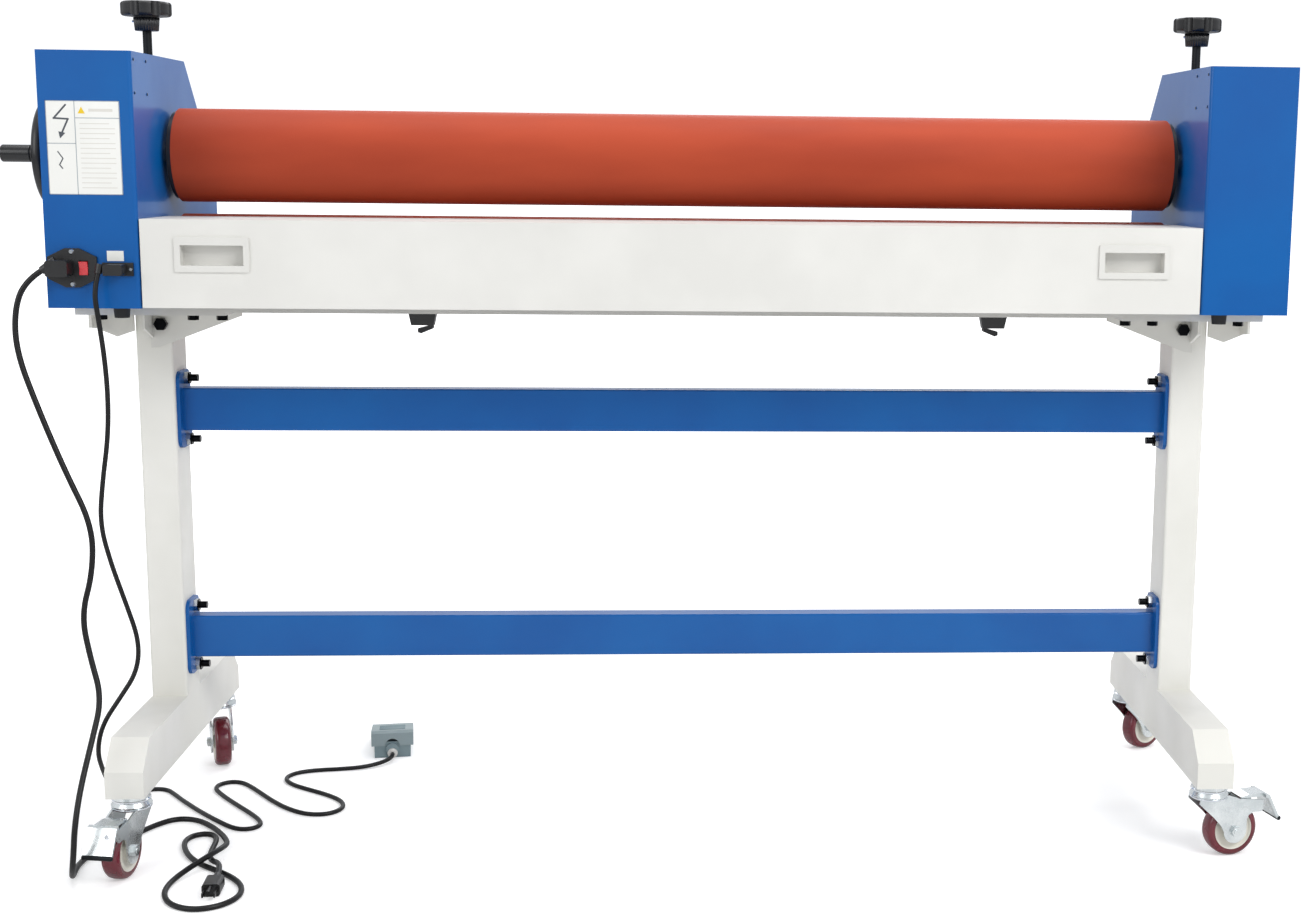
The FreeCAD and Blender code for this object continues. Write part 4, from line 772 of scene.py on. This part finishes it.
# ------------------------------------------------------------------ head
@dataclass
class Head:
    """Housings, rollers, knobs, hand wheel, feed table and what is fixed to them.

    Attributes:
        screw_x: distance of each pressure screw from the middle.
        collar_low, collar_high, cap_z, pin_z: heights of the knobs' collar, cap and set pin.
        pin_inset: how far the set pin starts from the screw's axis.
        front_y: machine y behind which a panel screw counts as one on the covers.
        label_left, label_right, label_low, label_high: the label's printed frame.
        label_column, label_split, label_head: its inner lines.
        line, ink: width of a frame line and thickness of the print.
        rule_count, rule_top, rule_pitch: the rules that stand for text.
        head_reach, socket_reach: how far the screw heads stand out of the inlet and the socket.
    """

    screw_x: float = 720.5
    collar_low: float = 1103.7
    collar_high: float = 1121.5
    cap_z: float = 1140.6
    pin_z: float = 1116.5
    pin_inset: float = 15.5
    front_y: float = -172.0
    label_left: float = -802.5
    label_right: float = -710.5
    label_low: float = 887.0
    label_high: float = 1005.0
    label_column: float = -766.0
    label_split: float = 951.0
    label_head: float = 983.0
    line: float = 0.9
    ink: float = 0.12
    rule_count: int = 14
    rule_top: float = 976.0
    rule_pitch: float = 6.2
    head_reach: float = 2.15
    socket_reach: float = 1.75

    def dress_sheets(self) -> None:
        """Finish the housings, the table and the bare steel inside."""
        for node in ("left_housing", "right_housing", "end_covers"):
            dress(node, BLUE, 0.8, 50)
        dress("feed_table", TABLE_WHITE, 0.7, 50)
        dress("table_pulls", WHITE_PLASTIC, 0.6, 50)
        dress("table_runners", BLACK_PLASTIC, 0.5)
        for node in ("side_frames", "pressure_nuts", "bearing_blocks"):
            dress(node, DARK_STEEL)
        for node in ("tie_bars", "lower_bearings", "drive_chain", "lower_sprocket", "motor_sprocket"):
            dress(node, BRIGHT_STEEL)
        dress("gear_motor", SATIN_BLACK)
        dress("head_feet", BLACK_RUBBER, 0.8)
        dress("base_rails", PALE_GREY, 0.6)

    def dress_rollers(self) -> None:
        """Finish the rollers, knobs and the hand wheel."""
        for side in ("upper", "lower"):
            dress(side + "_roller_sleeve", RED_RUBBER, 0.8)
            dress(side + "_roller_core", BRIGHT_STEEL)
            dress(side + "_end_discs", BLACK_PLASTIC, 0.8)
        for side in ("left", "right"):
            dress(side + "_knob", BLACK_PLASTIC, 0.8, 50)
            dress(side + "_pressure_screw", DARK_STEEL)
        dress("handwheel", SATIN_BLACK)
        dress("crank_grip", SATIN_BLACK)

    def dress_electrics(self) -> None:
        """Finish the inlet, switch, socket, labels and screws."""
        dress("power_inlet", BLACK_PLASTIC, 0.5)
        dress("power_rocker", RED_LENS, 0.5)
        dress("pedal_socket", BLACK_PLASTIC, 0.5)
        dress("labels", FILM)
        # Chromed heads on the front, and near-black navy heads on the covers behind it.
        behind_front = PLACE.at(0, self.front_y, 0).y
        covers = (1, behind_front + 10.0, 10.0, -1)
        dress("panel_screws", parted(CHROME, "chrome_and_dark_navy_screws", "#10233f", (covers,)))

    def label_art(self) -> None:
        """Draw plain pictograms in cells on the label: an arrow, a wave, a triangle and rules."""
        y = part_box("labels")[0][1] / MM - PLACE.middle_y / MM
        thick = self.ink
        left, right, low, high = self.label_left, self.label_right, self.label_low, self.label_high
        column, split, head, line = self.label_column, self.label_split, self.label_head, self.line
        frames = ((left, right, low, low + line), (left, right, high - line, high), (left, left + line, low, high),
                  (right - line, right, low, high), (left, column, split, split + line),
                  (column - line, column, low, high), (column, right, head, head + line))
        for number, (x0, x1, z0, z1) in enumerate(frames):
            outline = [(x0, z0), (x1, z0), (x1, z1), (x0, z1)]
            outline_plate("label_line_%d" % number, outline, y, thick, GREY_INK_AND_RECESS_SHADE)
        bolt = [(-777.5, 999.5), (-792.5, 983.0), (-775.0, 982.0), (-783.0, 965.0)]
        stroke("label_arrow", bolt, 2.2, y, thick, FILM_DARK)
        tip = [(-787.5, 966.5), (-779.0, 964.5), (-785.8, 957.5)]
        outline_plate("label_arrow_head", tip, y, thick, FILM_DARK)
        wave = [(-789.5, 941.0), (-783.5, 932.5), (-788.0, 924.5), (-784.5, 920.0)]
        stroke("label_wave", wave, 1.4, y, thick, FILM_DARK)
        triangle = [(-762.5, 989.0), (-753.5, 989.0), (-758.0, 997.5)]
        outline_plate("label_triangle", triangle, y, thick, FILM_YELLOW)
        header = [(-749.0, 991.5), (-719.0, 991.5), (-719.0, 995.0), (-749.0, 995.0)]
        outline_plate("label_header", header, y, thick, FILM_PALE)
        start = -761.0
        for row in range(self.rule_count):
            z = self.rule_top - row * self.rule_pitch
            end = -717.0 if row % 3 else -724.0
            rule = [(start, z), (end, z), (end, z + 1.0), (start, z + 1.0)]
            outline_plate("label_rule_%d" % row, rule, y, thick, FILM_PALE)

    def knob_trim(self) -> None:
        """Add the ribbed hub collar, the moulded cap and the set pin of each star knob."""
        for side, sign in (("left", -1), ("right", 1)):
            body = side + "_screw_knob"
            axis_x = sign * self.screw_x
            fluted(side + "_knob_collar", PLACE.at(axis_x, 0, 0), self.collar_low, self.collar_high, r_low=14.6,
                   r_high=16.2, ribs=26, depth=1.0, finish=SATIN_BLACK, body=body)
            cap = [(0, 0.0), (0, 17.0), (0.8, 17.8), (1.3, 16.0), (1.6, 12.0), (1.6, 0.0)]
            lathe(side + "_knob_cap", cap, PLACE.at(axis_x, 0, self.cap_z), Vector((0, 0, 1)), SATIN_BLACK, body, 48)
            pin = [(0, 0.0), (0, 1.6), (3.6, 1.6), (4.0, 1.2), (4.0, 0.0)]
            start = PLACE.at(axis_x - self.pin_inset, 0, self.pin_z)
            lathe(side + "_knob_pin", pin, start, Vector((-1, 0, 0)), CHROME, body, 20)

    def wheel_trim(self) -> None:
        """Add the bright pin end on the crank grip."""
        low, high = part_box("crank_grip")
        centre = Vector((low[0], (low[1] + high[1]) / 2, (low[2] + high[2]) / 2))
        cap = [(-0.9, 0.0), (-0.9, 3.0), (-0.5, 4.2), (0.4, 4.6), (0.4, 0.0)]
        lathe("crank_grip_pin_end", cap, centre, Vector((1, 0, 0)), CHROME, "grip", 32)

    def shade_screw_recesses(self) -> None:
        """Add a dark cross of painted shade, in place of the cross recess, on the head of each inlet and socket
        screw.
        """
        inlet_low, inlet_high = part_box("power_inlet")
        socket_low, socket_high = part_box("pedal_socket")
        x = (inlet_low[0] + inlet_high[0]) / 2 / MM - PLACE.middle_x / MM
        z = (inlet_low[2] + inlet_high[2]) / 2 / MM
        face = inlet_low[1] / MM - PLACE.middle_y / MM - self.head_reach
        marks = [(x, z - 20.8, face, 1.9), (x, z + 20.8, face, 1.9)]
        z = (socket_low[2] + socket_high[2]) / 2 / MM
        face = socket_low[1] / MM - PLACE.middle_y / MM - self.socket_reach
        marks.append((socket_high[0] / MM - PLACE.middle_x / MM - 3.3, z, face, 1.4))
        for number, (cx, cz, y, r) in enumerate(marks):
            w = 0.3 * r
            cross = [(-w, -r), (w, -r), (w, -w), (r, -w), (r, w), (w, w), (w, r), (-w, r), (-w, w), (-r, w),
                     (-r, -w), (-w, -w)]
            outline = [(cx + a, cz + b) for a, b in cross]
            # Painted shade: a thin grey plate shaped like the cross recess darkens the screw head where the recess
            # lies.
            outline_plate("screw_cross_%d" % number, outline, y, 0.1, GREY_INK_AND_RECESS_SHADE)

    def build(self) -> None:
        """Dress the head and add its printed label and small trim."""
        self.dress_sheets()
        self.dress_rollers()
        self.dress_electrics()
        self.label_art()
        self.knob_trim()
        self.wheel_trim()
        self.shade_screw_recesses()


# ------------------------------------------------------------------ stand
class Corner(Enum):
    """The four casters, by where they stand."""

    FRONT_LEFT = "front_left"
    FRONT_RIGHT = "front_right"
    REAR_LEFT = "rear_left"
    REAR_RIGHT = "rear_right"

    def braked(self) -> bool:
        """True for the two front casters, which have a brake lever."""
        return self in (Corner.FRONT_LEFT, Corner.FRONT_RIGHT)


def joint_named(name: str) -> dict:
    """Find a joint of the part.

    Args:
        name: joint name.

    Returns:
        The joint's facts.
    """
    return next(joint for joint in frame["joints"] if joint["name"] == name)


@dataclass
class Stand:
    """Columns, beams, brackets, catches, casters and the foot pedal.

    Attributes:
        wheel_radius, wheel_width: size of the tyres.
        beads: height and radius of the raceway's upper and lower bead.
        rivet_place, lip_place: places on a brake lever along the trail, across it and above the floor.
        lever_slope: how far the lever's plate faces outwards and upwards.
        pedal_reach: distance from the foot pedal's hinge to its front.
        grommet_z: height of the cord's grommet.
        rib_count, rib_start, rib_pitch: the tread's ribs, counted from its front.
        tread_top, tread_start, tread_fall: height of the tread at its start and how much it falls per millimetre.
    """

    wheel_radius: float = 37.5
    wheel_width: float = 24.0
    beads: tuple = ((97.0, 25.2), (86.4, 26.2))
    rivet_place: tuple = (88.9, 9.0, 75.0)
    lip_place: tuple = (99.8, 0, 50.4)
    lever_slope: tuple = (0.897, 0.44)
    pedal_reach: float = 98.0
    grommet_z: float = 8.0
    rib_count: int = 7
    rib_start: float = 18.0
    rib_pitch: float = 8.0
    tread_top: float = 44.2
    tread_start: float = 4.5
    tread_fall: float = 18.5 / 98.5

    def wheel(self, corner: str) -> None:
        """Turn one wheel: a crowned tyre with soft shoulders, and a hub with a bearing boss.

        Args:
            corner: caster name.
        """
        joint = joint_named(corner + "_wheel_roll")
        centre = Vector(joint["pos_m"])
        axis = Vector(joint["axis"])
        body = corner + "_roller"
        half = self.wheel_width / 2
        r = self.wheel_radius
        tread = [(-half, 28.2), (-half, r - 5.0), (-half + 1.2, r - 2.4), (-half + 3.4, r - 0.7), (-half + 7, r),
                 (half - 7, r), (half - 3.4, r - 0.7), (half - 1.2, r - 2.4), (half, r - 5.0), (half, 28.2)]
        tyre = lathe(corner + "_tyre", tread, centre, axis, MAROON, body, 72)
        hub_half = [(half, 27.9), (half - 0.6, 27.0), (half - 3.4, 25.2), (half - 4.2, 22.0), (half - 4.2, 12.5),
                    (half - 1.2, 11.2), (half + 0.6, 9.4), (half + 0.6, 6.2), (half - 0.8, 5.6), (half - 0.8, 4.1)]
        profile = [(-a, b) for a, b in hub_half[::-1]] + hub_half
        hub = lathe(corner + "_hub", profile, centre, axis, CREAM, body, 72)
        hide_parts(corner + "_wheel")

    def raceway_trim(self, corner: str) -> None:
        """Add the swivel raceway's two bright beads, the upper on the frame and the lower on the fork.

        Args:
            corner: caster name.
        """
        swivel = Vector(joint_named(corner + "_swivel_turn")["pos_m"])
        up = Vector((0, 0, 1))
        for number, ((z, r), body) in enumerate(zip(self.beads, ("frame", corner + "_swivel"))):
            bead = [(-1.6, 0.0), (-1.6, r - 1.2), (-0.9, r - 0.2), (0, r), (0.9, r - 0.2), (1.6, r - 1.2),
                    (1.6, 0.0)]
            centre = Vector((swivel.x, swivel.y, 0)) + up * (z * MM)
            lathe("%s_raceway_bead_%d" % (corner, number), bead, centre, up, CHROME, body, 64)

    def brake_trim(self, corner: str) -> None:
        """Add the rivet and the rolled lip of a brake lever.

        Args:
            corner: caster name.
        """
        swivel = Vector(joint_named(corner + "_swivel_turn")["pos_m"])
        base = Vector((swivel.x, swivel.y, 0))
        up = Vector((0, 0, 1))
        across = Vector(joint_named(corner + "_brake_press")["axis"]).normalized()
        out = across.cross(up).normalized()
        body = corner + "_brake_pedal"

        def spot(u: float, v: float, z: float) -> Vector:
            """Point at u along the trail, v across it and z above the floor, in millimetres."""
            return base + out * (u * MM) + across * (v * MM) + up * (z * MM)

        outwards, upwards = self.lever_slope
        normal = (out * outwards + up * upwards).normalized()
        rivet = [(-1.0, 0.0), (-1.0, 3.6), (0.4, 3.4), (1.3, 2.2), (1.6, 0.0)]
        lathe(corner + "_brake_rivet", rivet, spot(*self.rivet_place), normal, CHROME, body, 32)
        lip = [(-20.3, 0.0), (-20.3, 2.4), (-19.4, 3.2), (19.4, 3.2), (20.3, 2.4), (20.3, 0.0)]
        lathe(corner + "_brake_lip", lip, spot(*self.lip_place), across, DARK_STEEL, body, 32)

    def pedal_trim(self) -> None:
        """Add the pale cord grommet and the anti-slip ribs of the foot pedal."""
        joint = joint_named("pedal_press")
        across = Vector(joint["axis"]).normalized()
        back = Vector((0, 0, 1)).cross(across).normalized()
        hinge = Vector(joint["pos_m"])
        front = hinge - back * (self.pedal_reach * MM)
        collar = [(-4.2, 0.0), (-4.2, 5.6), (-3.4, 6.6), (-1.2, 7.6), (0.2, 8.0), (0.2, 0.0)]
        centre = Vector((front.x, front.y, self.grommet_z * MM))
        lathe("pedal_cord_grommet", collar, centre, back, WHITE_PLASTIC, "frame", 40)
        rib = [(-20, 0.0), (-20, 0.8), (-19.2, 1.3), (19.2, 1.3), (20, 0.8), (20, 0.0)]
        for number in range(self.rib_count):
            along = self.rib_start + self.rib_pitch * number
            z = self.tread_top - (along - self.tread_start) * self.tread_fall
            place = front + back * (along * MM) + Vector((0, 0, z * MM - front.z))
            lathe("pedal_rib_%d" % number, rib, place, across, PEDAL_GREY, "tread", 16)

    def build(self) -> None:
        """Dress the stand and build the wheels."""
        for node in ("left_leg", "right_leg"):
            dress(node, WHITE, 0.9, 50)
        dress("cross_beams", BLUE, 0.7, 50)
        dress("head_brackets", PALE_GREY, 0.6, 50)
        # Black studs above the columns and inside them, and bright plated nuts on their outer faces.
        black = ((2, 0.0, 0.70, 1), (0, PLACE.middle_x, 0.689, -1))
        dress("stand_bolts", parted(BRIGHT_STEEL, "bright_nuts_black_studs", "#131416", black), 0.4, 50)
        dress("catch_bodies", BLACK_PLASTIC, 0.8)
        for side in ("left", "right"):
            dress(side + "_catch_lever", SATIN_BLACK, 0.5)
        dress("caster_plates", ZINC, 0.5, 50)
        for corner in Corner:
            dress(corner.value + "_fork", ZINC, 0.6, 50)
            self.wheel(corner.value)
            self.raceway_trim(corner.value)
            if corner.braked():
                dress(corner.value + "_brake", ZINC, 0.6, 50)
                self.brake_trim(corner.value)
        self.pedal_trim()
        dress("pedal_base", PEDAL_GREY, 0.9, 50)
        dress("pedal_tread", PEDAL_LIGHT, 1.2, 50)


def main() -> None:
    """Build the studio, the cords and every sub-assembly, in that order."""
    logging.basicConfig(level=logging.INFO, format="%(message)s")
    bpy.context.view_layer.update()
    for label, maker in (("studio", Studio()), ("cords", Cords()), ("head", Head()), ("stand", Stand())):
        maker.build()
        LOG.info("built %s", label)


if __name__ == "__main__":
    main()
